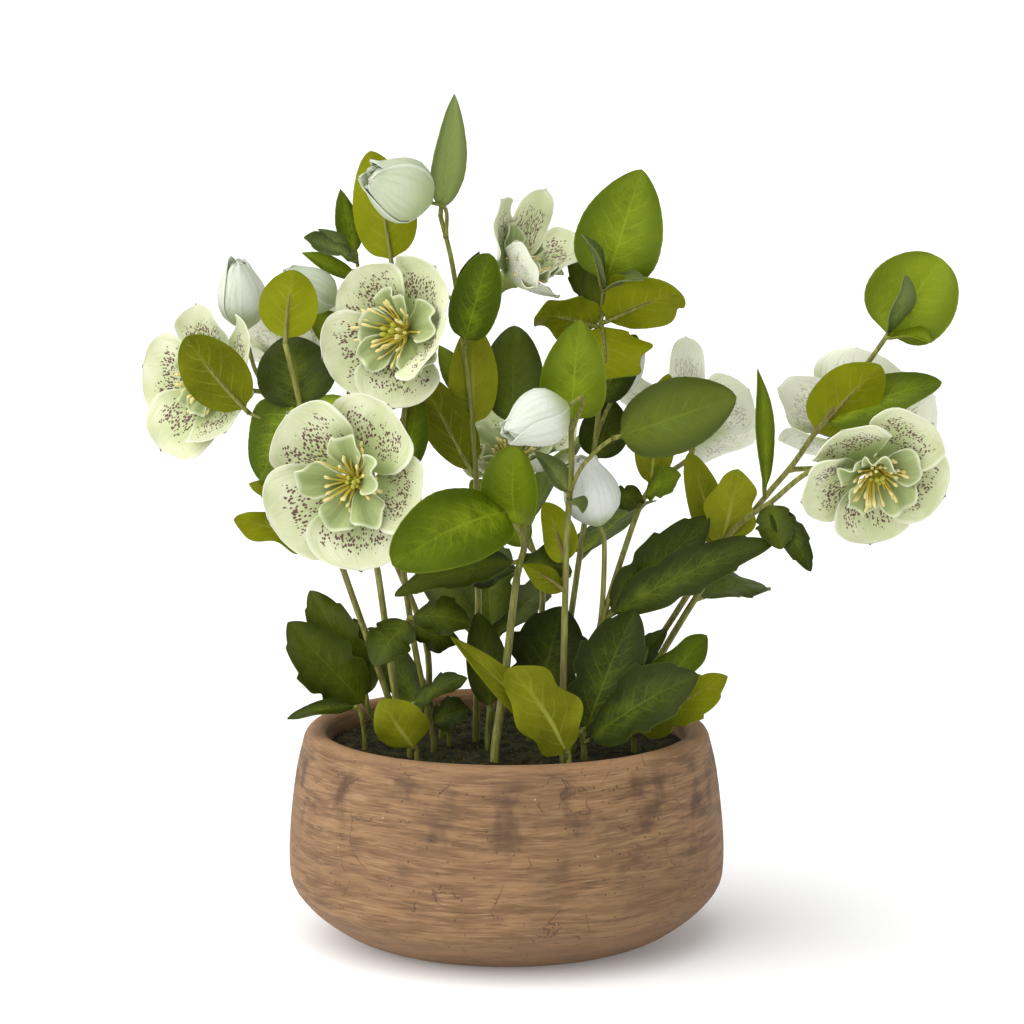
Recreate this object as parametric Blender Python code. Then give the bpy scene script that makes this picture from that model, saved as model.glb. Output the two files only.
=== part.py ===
"""Potted hellebore: a low round pot, mossy soil, leafy stems, speckled blooms and buds.

Units are metres with +Z up. The origin is the middle of the pot's base, and the
front of the plant faces -Y. The tables are in millimetres.
"""

import math
import random

import bpy
import numpy as np

MM = 0.001

# Pot: outer and inner outline as (radius, height).
POT_HEIGHT = 112.0
POT_SIDES = 32
POT_OUTER = [(71, 0), (84, 4.5), (96, 12), (105.2, 20), (112.3, 30), (114, 43), (113.3, 62)]
POT_OUTER += [(110, 89), (106.4, 106), (103.2, 110.8), (99.5, POT_HEIGHT)]
POT_INNER = [(95, 110), (93.5, 103), (99, 60), (90, 16)]
POT_FLOOR = 11.0

# Soil: fills the pot with a small gap to the wall, and bulges a little.
SOIL_TOP = 102.0
SOIL_BUMP = 2.2
SOIL_GAP = 0.4
HOLE_BOTTOM = 84.0
HOLE_GAP = 0.4
FOOT_BOTTOM = 85.0
FOOT_TOP = 108.0

BLADE_THICKNESS = 0.9
SOCKET_GAP = 0.3

# Outline of a blade: exponents of its half width from base to tip, rows along it, and narrow base.
OUTLINES = {
    "oval": (0.45, 0.50, 0.8),
    "round": (0.42, 0.48, 0.8),
    "heart": (0.36, 0.60, 0.8),
    "lance": (0.70, 0.90, 0.8),
    "cut": (0.75, 0.75, 0.8),
    "tepal": (0.72, 0.36, 2.4),
    "petal": (0.60, 0.35, 1.3),
}
ROWS = {
    "oval": (0, 0.10, 0.36, 0.80, 1),
    "round": (0, 0.10, 0.38, 0.82, 1),
    "heart": (0, 0.10, 0.32, 0.76, 1),
    "lance": (0, 0.30, 0.68, 1),
    "cut": (0, 0.34, 0.44, 0.70, 1),
    "tepal": (0, 0.36, 0.84, 1),
    "petal": (0, 0.50, 0.84, 1),
}
NOTCHES = {0.44: 0.66}
WAVES = {"oval": 0.5, "round": 0.5, "heart": 0.6, "lance": 0.3, "cut": 1.2, "tepal": 0.8, "petal": 1.6}

# Blooms: front of the receptacle, facing, radius, angle of the first tepal, how far it closes.
# A folded one has its own reach and rise, as shares of the radius, and share of the usual width.
BLOOMS = {
    "bloom_1": ((-75, -57, 251), (-0.34, -0.93, 0.03), 48, 62, 0.26),
    "bloom_2": ((-51, -30, 323), (-0.42, -0.9, 0.14), 41, 54, 0.36),
    "bloom_3": ((-151, 18, 290), (-0.66, -0.66, 0.25), 42, 90, 0.36),
    "bloom_4": ((2, -4, 348), (0.62, -0.3, 0.72), 31, 108, 1.05),
    "bloom_5": ((187, -48, 257), (0.15, -0.87, -0.42), 40, 50, 0.3),
    "bloom_6": ((181, 16, 261), (0.1, 0.75, 0.6), 45, 52, 0.45),
    "bloom_7": ((98, 46, 261), (0.1, 0.7, 0.65), 43, 117, 0.45),
    "bloom_8": ((3, 46, 240), (0.0, -0.35, 0.94), 38, 30, 0.5),
    "bloom_9": ((-108, 66, 292), (-0.1, 0.5, 0.82), 40, 20, 0.5),
}
FOLDED = {
    ("bloom_1", "tepal", 4): (0.84, 0.36, 0.8),
    ("bloom_2", "tepal", 4): (0.75, 0.6, 1.0),
    ("bloom_3", "petal", 1): (0.42, 0.3, 0.8),
    ("bloom_3", "petal", 2): (0.42, 0.3, 0.8),
    ("bloom_4", "tepal", 0): (0.95, 1.3, 0.6),
    ("bloom_4", "tepal", 2): (0.75, 0.8, 0.8),
    ("bloom_4", "tepal", 3): (0.8, 0.4, 0.9),
    ("bloom_4", "tepal", 4): (0.85, 1.1, 1.0),
    ("bloom_7", "tepal", 2): (1.1, 0.6, 0.45),
    ("bloom_7", "tepal", 3): (0.75, 0.45, 0.85),
}
RECEPTACLE_BACK = -9
RECEPTACLE_RADIUS = 2.3
STAMENS_FRONT = 13
STAMENS_BACK = 7
BACK_BLOOMS = ("bloom_6", "bloom_7", "bloom_8", "bloom_9")

# Buds: base, tip and width.
BUDS = {
    "bud_1": ((-39, -22, 389), (-73, -34, 406), 36),
    "bud_2": ((-136, 27, 318), (-140, 24, 356), 28),
    "bud_3": ((-89, 10, 333), (-116, 2, 350), 25),
    "bud_4": ((31, -64, 290), (-3, -72, 275), 32),
    "bud_5": ((48, -22, 222), (38, -24, 259), 31),
    "bud_6": ((56, 14, 284), (71, 24, 313), 18),
}

# Outline of a bud up to its open tip and a little way back inside: share of its length, share of its width.
BUD_PROFILE = [(0, 0.07), (0.12, 0.27), (0.34, 0.45), (0.60, 0.46), (0.82, 0.36), (0.95, 0.24)]
BUD_PROFILE += [(0.86, 0.14)]

# Stems: the foot in the soil, then runs as (radius at each end, what stands on the end, points),
# then blades as (base, tip, width, facing, bow, fold in degrees, outline).
# The first run starts at the foot. Every other run and every blade grows from the nearest run.
STEMS = {
    "stem_a": ((-56, -2), [
        ((1.9, 1.4), None, [(-82, -28, 193), (-96, -32, 237), (-105, -32, 283), (-113, -34, 318)]),
        ((1.2, 1.0), None, [(-105, -30, 282), (-120, -26, 277), (-133, -26, 281)]),
        ((1.4, 1.3), "bloom_3", [(-103, -28, 267), (-98, 2, 264), (-116, 32, 280)]),
    ], [
        ((-113, -34, 318), (-108, -34, 356), 31, (0.1, 1, 0.2), 4, 10, "oval"),
        ((-132, -26, 281), (-164, -36, 322), 33, (-0.2, 1, 0.3), 4, 10, "oval"),
        ((-105, -28, 283), (-113, -15, 320), 41, (0, -1, 0.3), 4, 6, "oval"),
        ((-104, -32, 287), (-128, -27, 246), 42, (-0.3, -0.9, 0.5), 3, 12, "heart"),
        ((-105, -31, 284), (-74, -36, 288), 12, (0, -0.5, 0.8), 2, 10, "lance"),
        ((-89, -30, 215), (-140, -46, 227), 21, (0, 0.7, -0.6), -4, 8, "oval"),
        ((-95, -30, 234), (-132, -22, 242), 14, (0, 0.7, -0.6), -3, 8, "cut"),
    ]),
    "stem_b": ((-50, -28), [
        ((1.9, 1.6), "bloom_1", [(-57, -30, 131), (-66, -37, 199), (-73, -39, 235)]),
    ], []),
    "stem_c": ((-34, 12), [
        ((1.8, 1.4), "bloom_2", [(-45, 4, 137), (-54, -12, 202), (-55, -20, 250), (-51, -12, 291)]),
    ], [
        ((-51, -11, 288), (-64, 0, 353), 24, (0, -1, 0.3), 3, 8, "oval"),
        ((-54, -19, 245), (-45, -10, 287), 18, (0, -1, 0.3), 3, 8, "oval"),
    ]),
    "stem_d": ((-16, 8), [
        ((2.0, 1.2), None, [(-15, 6, 156), (-15, -1, 221), (-18, -7, 275), (-23, -10, 322),
                            (-28, -14, 357), (-34, -16, 382)]),
        ((1.5, 1.3), "bloom_4", [(-22, -8, 312), (-16, 0, 330)]),
        ((1.1, 1.0), None, [(-25, -10, 337), (-42, -2, 344), (-59, -3, 354)]),
        ((1.1, 1.0), "bud_1", [(-31, -15, 370)]),
    ], [
        ((-34, -16, 381), (-26, -22, 444), 20, (0.5, -1, 0), 3, 14, "lance"),
        ((-59, -3, 354), (-70, 4, 413), 33, (0.1, 1, 0.2), 4, 8, "oval"),
        ((-22, -9, 314), (-9, -27, 363), 26, (-0.1, -1, 0.2), 4, 10, "round"),
        ((-25, -10, 337), (-14, 4, 361), 9, (0, -1, 0.3), 2, 8, "lance"),
        ((-16, -5, 244), (-45, -14, 300), 27, (0.2, 1, 0.2), 4, 10, "oval"),
        ((-17, -6, 269), (-17, 2, 324), 26, (0.2, -1, 0.3), 4, 8, "oval"),
        ((-19, -8, 282), (-35, 8, 312), 14, (0.2, -1, 0.3), 3, 8, "lance"),
    ]),
    "stem_e": ((-6, -50), [
        ((2.6, 1.5), None, [(-1, -46, 145), (5, -40, 196), (9, -36, 214), (4, -38, 227), (0, -38, 238)]),
        ((1.6, 1.2), None, [(5, -38, 194), (11, -15, 223), (7, -2, 253), (3, 4, 270)]),
    ], [
        ((1, -38, 231), (-55, -120, 220), 42, (-0.2, -1, 0.25), 13, 8, "round"),
        ((5, -38, 223), (4, -58, 268), 32, (-0.3, -0.9, 0.3), 7, 18, "round"),
        ((3, 4, 267), (4, 26, 320), 32, (0, -1, 0.2), 4, 8, "oval"),
        ((7, -38, 206), (-57, -64, 194), 22, (0, -0.6, 0.8), 4, 10, "cut"),
        ((7, -38, 204), (34, -26, 200), 20, (0, -0.6, 0.8), 4, 10, "cut"),
        ((6, -38, 201), (-23, -20, 191), 22, (0, -0.6, 0.8), 4, 10, "cut"),
    ]),
    "stem_f": ((29, -46), [
        ((1.9, 1.5), None, [(29, -47, 136), (30, -48, 187), (31, -48, 224), (33, -46, 254),
                            (33, -45, 278)]),
        ((1.2, 1.1), None, [(32, -46, 243), (38, -50, 256), (47, -50, 266), (54, -48, 271)]),
        ((1.2, 1.1), "bud_4", [(33, -45, 274)]),
    ], [
        ((33, -45, 277), (37, -50, 332), 35, (-0.1, -1, 0.15), 4, 10, "heart"),
        ((30, -48, 239), (39, -60, 235), 12, (0.5, -0.8, 0.6), 3, 24, "lance"),
        ((31, -48, 242), (15, -44, 264), 14, (0.5, -0.8, 0.4), 3, 20, "lance"),
        ((54, -48, 271), (116, -62, 295), 41, (0, -0.9, 0.5), 6, 8, "oval"),
        ((30, -48, 205), (20, -30, 235), 20, (0.2, 0.9, 0.3), 3, 10, "oval"),
        ((30, -48, 191), (8, -52, 206), 14, (0, 0.8, -0.6), -3, 10, "lance"),
    ]),
    "stem_g": ((34, -12), [
        ((2.1, 1.3), "bloom_7", [(36, -14, 116), (49, -20, 169), (62, -12, 210), (71, -2, 232),
                                 (80, 14, 240)]),
        ((1.5, 1.3), "bud_5", [(49, -20, 166), (50, -21, 188)]),
    ], [
        ((50, -20, 173), (105, -16, 226), 30, (0.3, -0.8, 0.5), 6, 12, "cut"),
        ((50, -20, 172), (136, -38, 218), 27, (0.2, -0.75, 0.6), 9, 12, "cut"),
        ((71, -2, 237), (54, -12, 232), 16, (0, -0.8, 0.6), 3, 10, "cut"),
        ((71, -2, 238), (89, -18, 248), 18, (0, -0.8, 0.6), 3, 10, "cut"),
        ((74, 2, 240), (84, 4, 297), 22, (0, -1, 0.2), 3, 8, "oval"),
    ]),
    "stem_h": ((24, 30), [
        ((1.9, 1.2), None, [(31, 24, 147), (38, 18, 197), (45, 8, 251), (48, 2, 283), (48, -6, 315),
                            (50, -10, 343)]),
        ((1.1, 1.0), "bud_6", [(47, 5, 262)]),
    ], [
        ((50, -10, 343), (69, -14, 405), 46, (-0.1, -1, 0.25), 5, 8, "heart"),
        ((50, -10, 342), (39, -35, 374), 16, (0.5, -0.5, 0.7), 4, 24, "lance"),
        ((50, -10, 341), (70, -34, 352), 15, (0, -0.6, 0.8), 4, 24, "lance"),
        ((48, -6, 323), (14, -27, 332), 29, (0.1, 0.85, 0.5), 4, 10, "oval"),
        ((48, -7, 325), (89, -30, 345), 40, (0, 0.8, 0.6), 5, 10, "oval"),
        ((48, -8, 325), (50, -34, 298), 44, (0, 0.9, 0.4), 4, 8, "oval"),
        ((48, -4, 325), (33, 14, 362), 15, (0, -1, 0.3), 3, 12, "cut"),
        ((49, -6, 324), (43, 4, 353), 14, (0, -1, 0.3), 3, 12, "cut"),
        ((38, 18, 197), (78, 68, 222), 36, (0.2, 0.5, 0.8), 6, 8, "oval"),
        ((48, 2, 280), (67, 0, 318), 22, (0, -1, 0.2), 3, 8, "oval"),
        ((47, 9, 250), (55, 18, 282), 26, (0, -1, 0.2), 3, 8, "oval"),
    ]),
    "stem_i": ((51, 30), [
        ((1.9, 1.4), "bloom_5", [(81, 14, 157), (115, -8, 214), (137, -20, 234),
                                 (155, -26, 250)]),
    ], [
        ((106, -3, 207), (95, 4, 256), 20, (0.2, -0.9, 0.3), 3, 12, "oval"),
        ((108, -4, 208), (120, -10, 249), 27, (0.2, -0.9, 0.3), 3, 10, "oval"),
        ((136, -19, 233), (141, -36, 212), 21, (0, -0.9, 0.4), 4, 12, "cut"),
        ((136, -19, 233), (157, -36, 200), 15, (0, -0.9, 0.4), 8, 12, "cut"),
    ]),
    "stem_j": ((60, 8), [
        ((2.0, 1.3), None, [(89, 8, 162), (122, 4, 215), (135, -6, 235), (148, -12, 252),
                            (159, -20, 270), (174, -24, 291), (186, -26, 308), (196, -28, 323)]),
        ((1.4, 1.3), "bloom_6", [(146, -11, 249)]),
    ], [
        ((194, -27, 319), (222, -32, 361), 48, (0, -1, 0.3), 5, 10, "round"),
        ((195, -27, 320), (216, -46, 321), 17, (0.4, -0.6, 0.6), 4, 22, "lance"),
        ((196, -28, 321), (203, -46, 354), 18, (0.6, -0.8, 0.2), 4, 20, "oval"),
        ((158, -20, 267), (191, -38, 308), 34, (0.1, 1, 0.3), 5, 8, "oval"),
        ((162, -20, 274), (223, -26, 298), 26, (0, -0.8, 0.6), 5, 12, "oval"),
        ((98, 8, 178), (142, 64, 176), 20, (0.1, -0.6, 0.8), 6, 10, "cut"),
        ((132, -3, 236), (131, 8, 299), 12, (0.5, -0.8, 0.3), 4, 20, "lance"),
    ]),
    "stem_k": ((10, 24), [
        ((1.9, 1.3), "bloom_8", [(19, 22, 175), (12, 26, 206)]),
    ], [
        ((14, 24, 201), (-19, 34, 237), 22, (0, -1, 0.3), 4, 10, "oval"),
        ((9, 28, 216), (42, 76, 258), 34, (0.2, 0.5, 0.8), 6, 8, "oval"),
    ]),
    "stem_l": ((-42, 42), [
        ((1.9, 1.3), "bloom_9", [(-43, 34, 151), (-64, 34, 205), (-84, 40, 252), (-97, 50, 270)]),
        ((1.4, 1.1), "bud_2", [(-81, 34, 243), (-104, 36, 272), (-128, 36, 288)]),
        ((1.2, 1.0), "bud_3", [(-85, 34, 250), (-82, 22, 291), (-78, 15, 318)]),
        ((1.1, 1.0), None, [(-80, 17, 312), (-76, 18, 336), (-78, 16, 358)]),
    ], [
        ((-78, 16, 357), (-86, 14, 392), 13, (0, -1, 0.3), 2, 8, "lance"),
        ((-78, 16, 356), (-97, 10, 372), 9, (0, -0.8, 0.5), 2, 10, "lance"),
        ((-78, 16, 354), (-104, 0, 369), 14, (0, -0.7, 0.7), 3, 12, "cut"),
        ((-77, 18, 344), (-106, 18, 359), 10, (0, -0.8, 0.6), 2, 8, "lance"),
        ((-83, 17, 310), (-102, 20, 327), 18, (0, -1, 0.3), 2, 8, "oval"),
        ((-64, 34, 205), (-108, 80, 232), 36, (-0.2, 0.5, 0.8), 6, 8, "oval"),
    ]),
    "basal_a": ((-66, 8), [((1.7, 1.3), None, [(-72, 2, 119), (-74, 0, 130)])], [
        ((-72, 1, 121), (-113, -14, 169), 34, (-0.2, -0.85, 0.5), 5, 12, "cut"),
        ((-74, 0, 130), (-103, 4, 183), 26, (-0.1, -0.9, 0.3), 4, 12, "cut"),
        ((-73, 0, 125), (-80, 6, 168), 20, (0, -1, 0.3), 4, 10, "cut"),
    ]),
    "basal_b": ((-38, -22), [((1.6, 1.2), None, [(-44, -30, 143), (-50, -46, 178)])], [
        ((-50, -46, 177), (-68, -62, 156), 25, (-0.2, -0.8, 0.5), 4, 8, "cut"),
        ((-49, -46, 178), (-18, -58, 177), 23, (0, -0.7, 0.7), 4, 8, "cut"),
        ((-50, -44, 174), (-25, -30, 160), 18, (0.1, -0.8, -0.5), 3, 8, "cut"),
    ]),
    "basal_c": ((-74, -14), [((1.5, 1.2), None, [(-75, -17, 118), (-77, -19, 126)])], [
        ((-76, -19, 126), (-114, -26, 122), 13, (0, -0.4, 0.9), 3, 10, "lance"),
    ]),
    "basal_d": ((-46, -54), [((1.5, 1.3), None, [(-48, -55, 114)])], [
        ((-48, -55, 110), (-64, -64, 138), 30, (-0.4, -0.8, 0.4), 3, -20, "heart"),
    ]),
    "basal_e": ((-30, -6), [((1.5, 1.2), None, [(-43, -12, 117), (-49, -34, 130)])], [
        ((-48, -34, 130), (-21, -46, 147), 14, (0.2, -0.7, 0.7), 3, 10, "cut"),
        ((-43, -12, 118), (-66, 14, 155), 22, (0, -1, 0.2), 3, 8, "cut"),
        ((-40, -10, 114), (-19, -2, 122), 20, (0.1, -0.7, 0.7), 3, 8, "cut"),
    ]),
    "basal_f": ((32, -66), [((1.6, 1.4), None, [(30, -67, 112)])], [
        ((31, -66, 108), (2, -72, 157), 34, (0.3, -0.9, 0.3), 5, 14, "oval"),
        ((10, -71, 139), (-28, -60, 171), 16, (0.2, -0.8, 0.6), 4, 12, "lance"),
    ]),
    "basal_g": ((12, 2), [((1.6, 1.3), None, [(13, 4, 120)])], [
        ((13, 4, 118), (29, 14, 173), 42, (0, -0.9, 0.4), 5, 8, "cut"),
    ]),
    "basal_h": ((40, -40), [((1.7, 1.5), None, [(38, -42, 118)])], [
        ((38, -42, 112), (66, -34, 180), 38, (-0.1, -0.9, 0.3), 5, 12, "cut"),
        ((39, -42, 110), (97, -62, 152), 38, (-0.2, -0.8, 0.6), 7, 12, "cut"),
        ((38, -41, 117), (84, -14, 168), 16, (0, -0.9, 0.4), 4, 12, "cut"),
    ]),
    "basal_i": ((66, -24), [((1.6, 1.3), None, [(65, -24, 116)])], [
        ((65, -24, 111), (115, -32, 143), 28, (0.2, 0.7, -0.7), -4, 8, "cut"),
        ((65, -23, 115), (104, -8, 162), 22, (0, -0.8, 0.5), 4, 10, "oval"),
    ]),
    "basal_j": ((-10, -14), [((1.6, 1.3), None, [(-9, -14, 124)])], [
        ((-9, -14, 122), (-15, -6, 173), 22, (0.2, -0.9, 0.3), 4, 10, "oval"),
    ]),
    "basal_k": ((-8, 58), [((1.7, 1.4), None, [(-8, 62, 124), (-8, 66, 150)])], [
        ((-8, 64, 140), (-46, 104, 172), 30, (-0.3, 0.3, 0.9), 5, 12, "cut"),
        ((-8, 66, 148), (-12, 112, 196), 32, (0, -0.5, 0.8), 6, 12, "cut"),
        ((-8, 65, 144), (34, 108, 176), 30, (0.3, 0.3, 0.9), 5, 12, "cut"),
    ]),
}

LIGHT_BASAL = ("basal_f", "basal_i")

# Colours: red, green, blue and roughness.
COLOURS = {
    "pot": (0.36, 0.22, 0.12, 0.75),
    "soil": (0.018, 0.014, 0.008, 0.95),
    "leaf": (0.09, 0.17, 0.035, 0.5),
    "dark_leaf": (0.035, 0.075, 0.03, 0.5),
    "tepal": (0.62, 0.70, 0.48, 0.5),
    "stamen": (0.62, 0.46, 0.06, 0.6),
    "bud": (0.70, 0.76, 0.66, 0.5),
}


def unit(v):
    v = np.asarray(v, float)
    return v / np.linalg.norm(v)


def across_of(axis):
    """Two directions square to the axis, the first as near +X as it can be."""
    axis = unit(axis)
    first = unit(np.array([1.0, 0.0, 0.0]) - axis * axis[0])
    return first, np.cross(axis, first)


def smooth_path(points, before, parts):
    """Points of a curve through the given ones, starting as if it came from the point before."""
    knots = [np.array(before, float)] + [np.array(p, float) for p in points]
    knots.append(2 * knots[-1] - knots[-2])
    path = [knots[1]]
    for i in range(1, len(knots) - 2):
        a, b, c, d = knots[i - 1:i + 3]
        for k in range(1, parts + 1):
            t = k / parts
            path.append(0.5 * (2 * b + (c - a) * t + (2 * a - 5 * b + 4 * c - d) * t ** 2
                               + (3 * b - a - 3 * c + d) * t ** 3))
    return path


def tube(path, radii, sides, end=None):
    """A closed round rod along the path, its radius running from first to second.

    Its end may face a given way.
    """
    path = [np.asarray(p, float) for p in path]
    points, faces = [], []
    side = None
    for i, centre in enumerate(path):
        ahead = unit(path[min(i + 1, len(path) - 1)] - path[max(i - 1, 0)])
        if end is not None and i == len(path) - 1:
            ahead = end
        if side is None:
            side = across_of(ahead)[0]
        side = unit(side - ahead * side.dot(ahead))
        up = np.cross(ahead, side)
        radius = radii[0] + (radii[1] - radii[0]) * i / (len(path) - 1)
        for k in range(sides):
            turn = 2 * math.pi * k / sides
            points.append(centre + radius * (math.cos(turn) * side + math.sin(turn) * up))
    for i in range(len(path) - 1):
        for k in range(sides):
            a, b = i * sides + k, i * sides + (k + 1) % sides
            faces.append((a, b, b + sides))
            faces.append((a, b + sides, a + sides))
    faces.append(tuple(reversed(range(sides))))
    last = (len(path) - 1) * sides
    faces.append(tuple(range(last, last + sides)))
    return points, faces


def sheet(top, bottom, based=True):
    """A thin solid between two grids, closed at its base if asked.

    The last row of each grid may be a single point.
    """
    points = [p for row in top for p in row] + [p for row in bottom for p in row]
    starts = np.cumsum([0] + [len(row) for row in top])
    under = int(starts[-1])
    wide = len(top[0]) - 1

    def at(i, j):
        return int(starts[i]) + min(j, len(top[i]) - 1)

    faces = []

    def both(a, b, c):
        if len({a, b, c}) == 3:
            faces.append((a, b, c))
            faces.append((c + under, b + under, a + under))

    def wall(a, b):
        if a != b:
            faces.append((a, a + under, b + under))
            faces.append((a, b + under, b))

    for i in range(len(top) - 1):
        for j in range(wide):
            both(at(i, j), at(i, j + 1), at(i + 1, j + 1))
            both(at(i, j), at(i + 1, j + 1), at(i + 1, j))
        wall(at(i, wide), at(i + 1, wide))
        wall(at(i + 1, 0), at(i, 0))
    for j in range(wide if based else 0):
        wall(at(0, j), at(0, j + 1))
    return points, faces


def half_width(kind, t, width):
    rise, fall, narrow = OUTLINES[kind]
    if t >= 1:
        return 0.0
    s = max(t - 0.08, 0) / 0.92
    peak = rise / (rise + fall)
    share = s ** rise * (1 - s) ** fall / (peak ** rise * (1 - peak) ** fall)
    return max(narrow, width / 2 * share * NOTCHES.get(t, 1))


def blade_grids(base, tip, width, facing, bow, fold, kind):
    """Faces of a leaf or petal: bowed along its rib, folded along it and waved at its edges."""
    base, tip = np.array(base, float), np.array(tip, float)
    along = unit(tip - base)
    out = unit(np.array(facing, float) - along * np.dot(along, facing))
    side = np.cross(along, out)
    middle = (base + tip) / 2 + bow * out
    lean, lift = math.cos(math.radians(fold)), math.sin(math.radians(fold))
    top, bottom = [], []
    for i, t in enumerate(ROWS[kind]):
        centre = (1 - t) ** 2 * base + 2 * t * (1 - t) * middle + t ** 2 * tip
        normal = np.cross(side, unit((1 - t) * (middle - base) + t * (tip - middle)))
        wide = half_width(kind, t, width)
        wave = WAVES[kind] * (-1) ** i * (0.15 < t < 1)
        row = []
        for x in ((-1, 0, 1) if t < 1 else (0,)):
            row.append(centre + side * wide * x * lean + normal * (wide * abs(x) * lift + wave * abs(x)))
        top.append([p + normal * BLADE_THICKNESS / 2 for p in row])
        bottom.append([p - normal * BLADE_THICKNESS / 2 for p in row])
    return top, bottom


def revolved(profile, sides, centre, axis):
    """A closed turned solid. The profile runs as (radius, height) and a radius of 0 is a point."""
    first, second = across_of(axis)
    axis = unit(axis)
    points, rings, faces = [], [], []
    for radius, height in profile:
        ring = []
        for k in range(sides if radius else 1):
            turn = 2 * math.pi * k / sides
            ring.append(len(points))
            points.append(np.array(centre, float) + axis * height
                          + radius * (math.cos(turn) * first + math.sin(turn) * second))
        rings.append(ring * sides if len(ring) == 1 else ring)
    for low, high in zip(rings, rings[1:]):
        for k in range(sides):
            a, b, c, d = low[k], low[(k + 1) % sides], high[(k + 1) % sides], high[k]
            for face in ((a, b, c), (a, c, d)):
                if len(set(face)) == 3:
                    faces.append(face)
    return points, faces


def add_solid(name, shape, origin, colour):
    points, faces = shape
    origin = np.array(origin, float)
    mesh = bpy.data.meshes.new(name)
    mesh.from_pydata([tuple((np.asarray(p) - origin) * MM) for p in points], [], faces)
    obj = bpy.data.objects.new(name, mesh)
    obj.location = tuple(origin * MM)
    bpy.context.scene.collection.objects.link(obj)
    if colour:
        mesh.materials.append(material(name, *COLOURS[colour]))
    return obj


def material(name, red, green, blue, roughness):
    made = bpy.data.materials.new(name)
    made.use_nodes = True
    shader = made.node_tree.nodes["Principled BSDF"]
    shader.inputs["Base Color"].default_value = (red, green, blue, 1)
    shader.inputs["Roughness"].default_value = roughness
    return made


def apply_boolean(body, others, operation):
    group = bpy.data.collections.new(body.name + "_others")
    bpy.context.scene.collection.children.link(group)
    for other in others:
        bpy.context.scene.collection.objects.unlink(other)
        group.objects.link(other)
    modifier = body.modifiers.new("Boolean", "BOOLEAN")
    modifier.operation = operation
    modifier.operand_type = "COLLECTION"
    modifier.collection = group
    modifier.solver = "MANIFOLD"
    bpy.context.view_layer.objects.active = body
    bpy.ops.object.modifier_apply(modifier=modifier.name)
    for other in others:
        bpy.data.objects.remove(other, do_unlink=True)
    bpy.data.collections.remove(group)


def keep_main_body(obj):
    """Fills sealed hollows and drops loose crumbs that a union leaves."""
    mesh = obj.data
    parent = list(range(len(mesh.vertices)))

    def root(i):
        while parent[i] != i:
            parent[i] = parent[parent[i]]
            i = parent[i]
        return i

    for edge in mesh.edges:
        parent[root(edge.vertices[0])] = root(edge.vertices[1])
    volumes = {}
    for face in mesh.polygons:
        corners = [np.array(mesh.vertices[i].co) for i in face.vertices]
        key = root(face.vertices[0])
        for b, c in zip(corners[1:], corners[2:]):
            volumes[key] = volumes.get(key, 0) + np.dot(corners[0], np.cross(b, c)) / 6
    main = max(volumes, key=volumes.get)
    spare = [v for key, v in volumes.items() if key != main]
    if spare and max(spare) > 2 * MM ** 3:
        raise RuntimeError(f"{obj.name}: a piece isn't joined to the rest")
    if not spare:
        return
    kept = [face for face in mesh.polygons if root(face.vertices[0]) == main]
    used = sorted({i for face in kept for i in face.vertices})
    place = {old: new for new, old in enumerate(used)}
    points = [tuple(mesh.vertices[i].co) for i in used]
    faces = [tuple(place[i] for i in face.vertices) for face in kept]
    clean = bpy.data.meshes.new(obj.name)
    clean.from_pydata(points, [], faces)
    for slot in mesh.materials:
        clean.materials.append(slot)
    obj.data = clean
    bpy.data.meshes.remove(mesh)


def fused(name, shapes, origin, colour):
    """One solid from several closed shapes that cross one another."""
    body = add_solid(name, shapes[0], origin, colour)
    others = [add_solid(f"{name}_{i}", shape, origin, None) for i, shape in enumerate(shapes[1:])]
    if others:
        apply_boolean(body, others, "UNION")
        keep_main_body(body)
    return body


def socket_of(name):
    """Where a stem ends under a bloom or bud, and the direction it points there."""
    if name in BLOOMS:
        centre, facing = BLOOMS[name][:2]
        axis = unit(facing)
        return np.array(centre, float) + axis * (RECEPTACLE_BACK - SOCKET_GAP), axis
    base, tip = BUDS[name][:2]
    axis = unit(np.subtract(tip, base))
    return np.array(base, float) - axis * SOCKET_GAP, axis


def nearest_on(paths, point):
    """The point of the paths that is nearest to the given one."""
    best, found = 1e9, None
    for path in paths:
        for a, b in zip(path, path[1:]):
            share = np.clip(np.dot(point - a, b - a) / np.dot(b - a, b - a), 0, 1)
            spot = a + share * (b - a)
            if np.linalg.norm(point - spot) < best:
                best, found = np.linalg.norm(point - spot), spot
    return found


def stem_shapes(foot, runs, blades):
    paths, shapes = [], []
    for number, (radii, end, points) in enumerate(runs):
        points = [np.array(p, float) for p in points]
        axis = None
        if end:
            socket, axis = socket_of(end)
            points += [socket - axis * 9, socket]
        if number:
            points[0] = nearest_on(paths, points[0])
            path = smooth_path(points, points[0], 1)
        else:
            low = np.array([foot[0], foot[1], FOOT_BOTTOM], float)
            start = np.array([foot[0], foot[1], FOOT_TOP], float)
            path = [low] + smooth_path([start] + points, low, 1)
        paths.append(path)
        shapes.append(tube(path, radii, 5, axis))
    for base, tip, width, facing, bow, fold, kind in blades:
        root = nearest_on(paths, np.array(base, float))
        shapes.append(sheet(*blade_grids(root, tip, width, facing, bow, fold, kind)))
    return shapes


def band(low, high, only=None):
    """Faces between two rings of as many points, wound like the side of a turned solid."""
    count = len(low)
    points, faces = list(low) + list(high), []
    for k in range(count):
        if only and k % only[0] != only[1]:
            continue
        a, b = k, (k + 1) % count
        faces.append((a, b, b + count))
        faces.append((a, b + count, a + count))
    return points, faces


def capped(ring, centre, outward):
    """A fan that closes a ring, facing along the ring's axis or against it."""
    count = len(ring)
    faces = []
    for k in range(count):
        a, b = k, (k + 1) % count
        faces.append((a, b, count) if outward else (b, a, count))
    return list(ring) + [centre], faces


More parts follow.
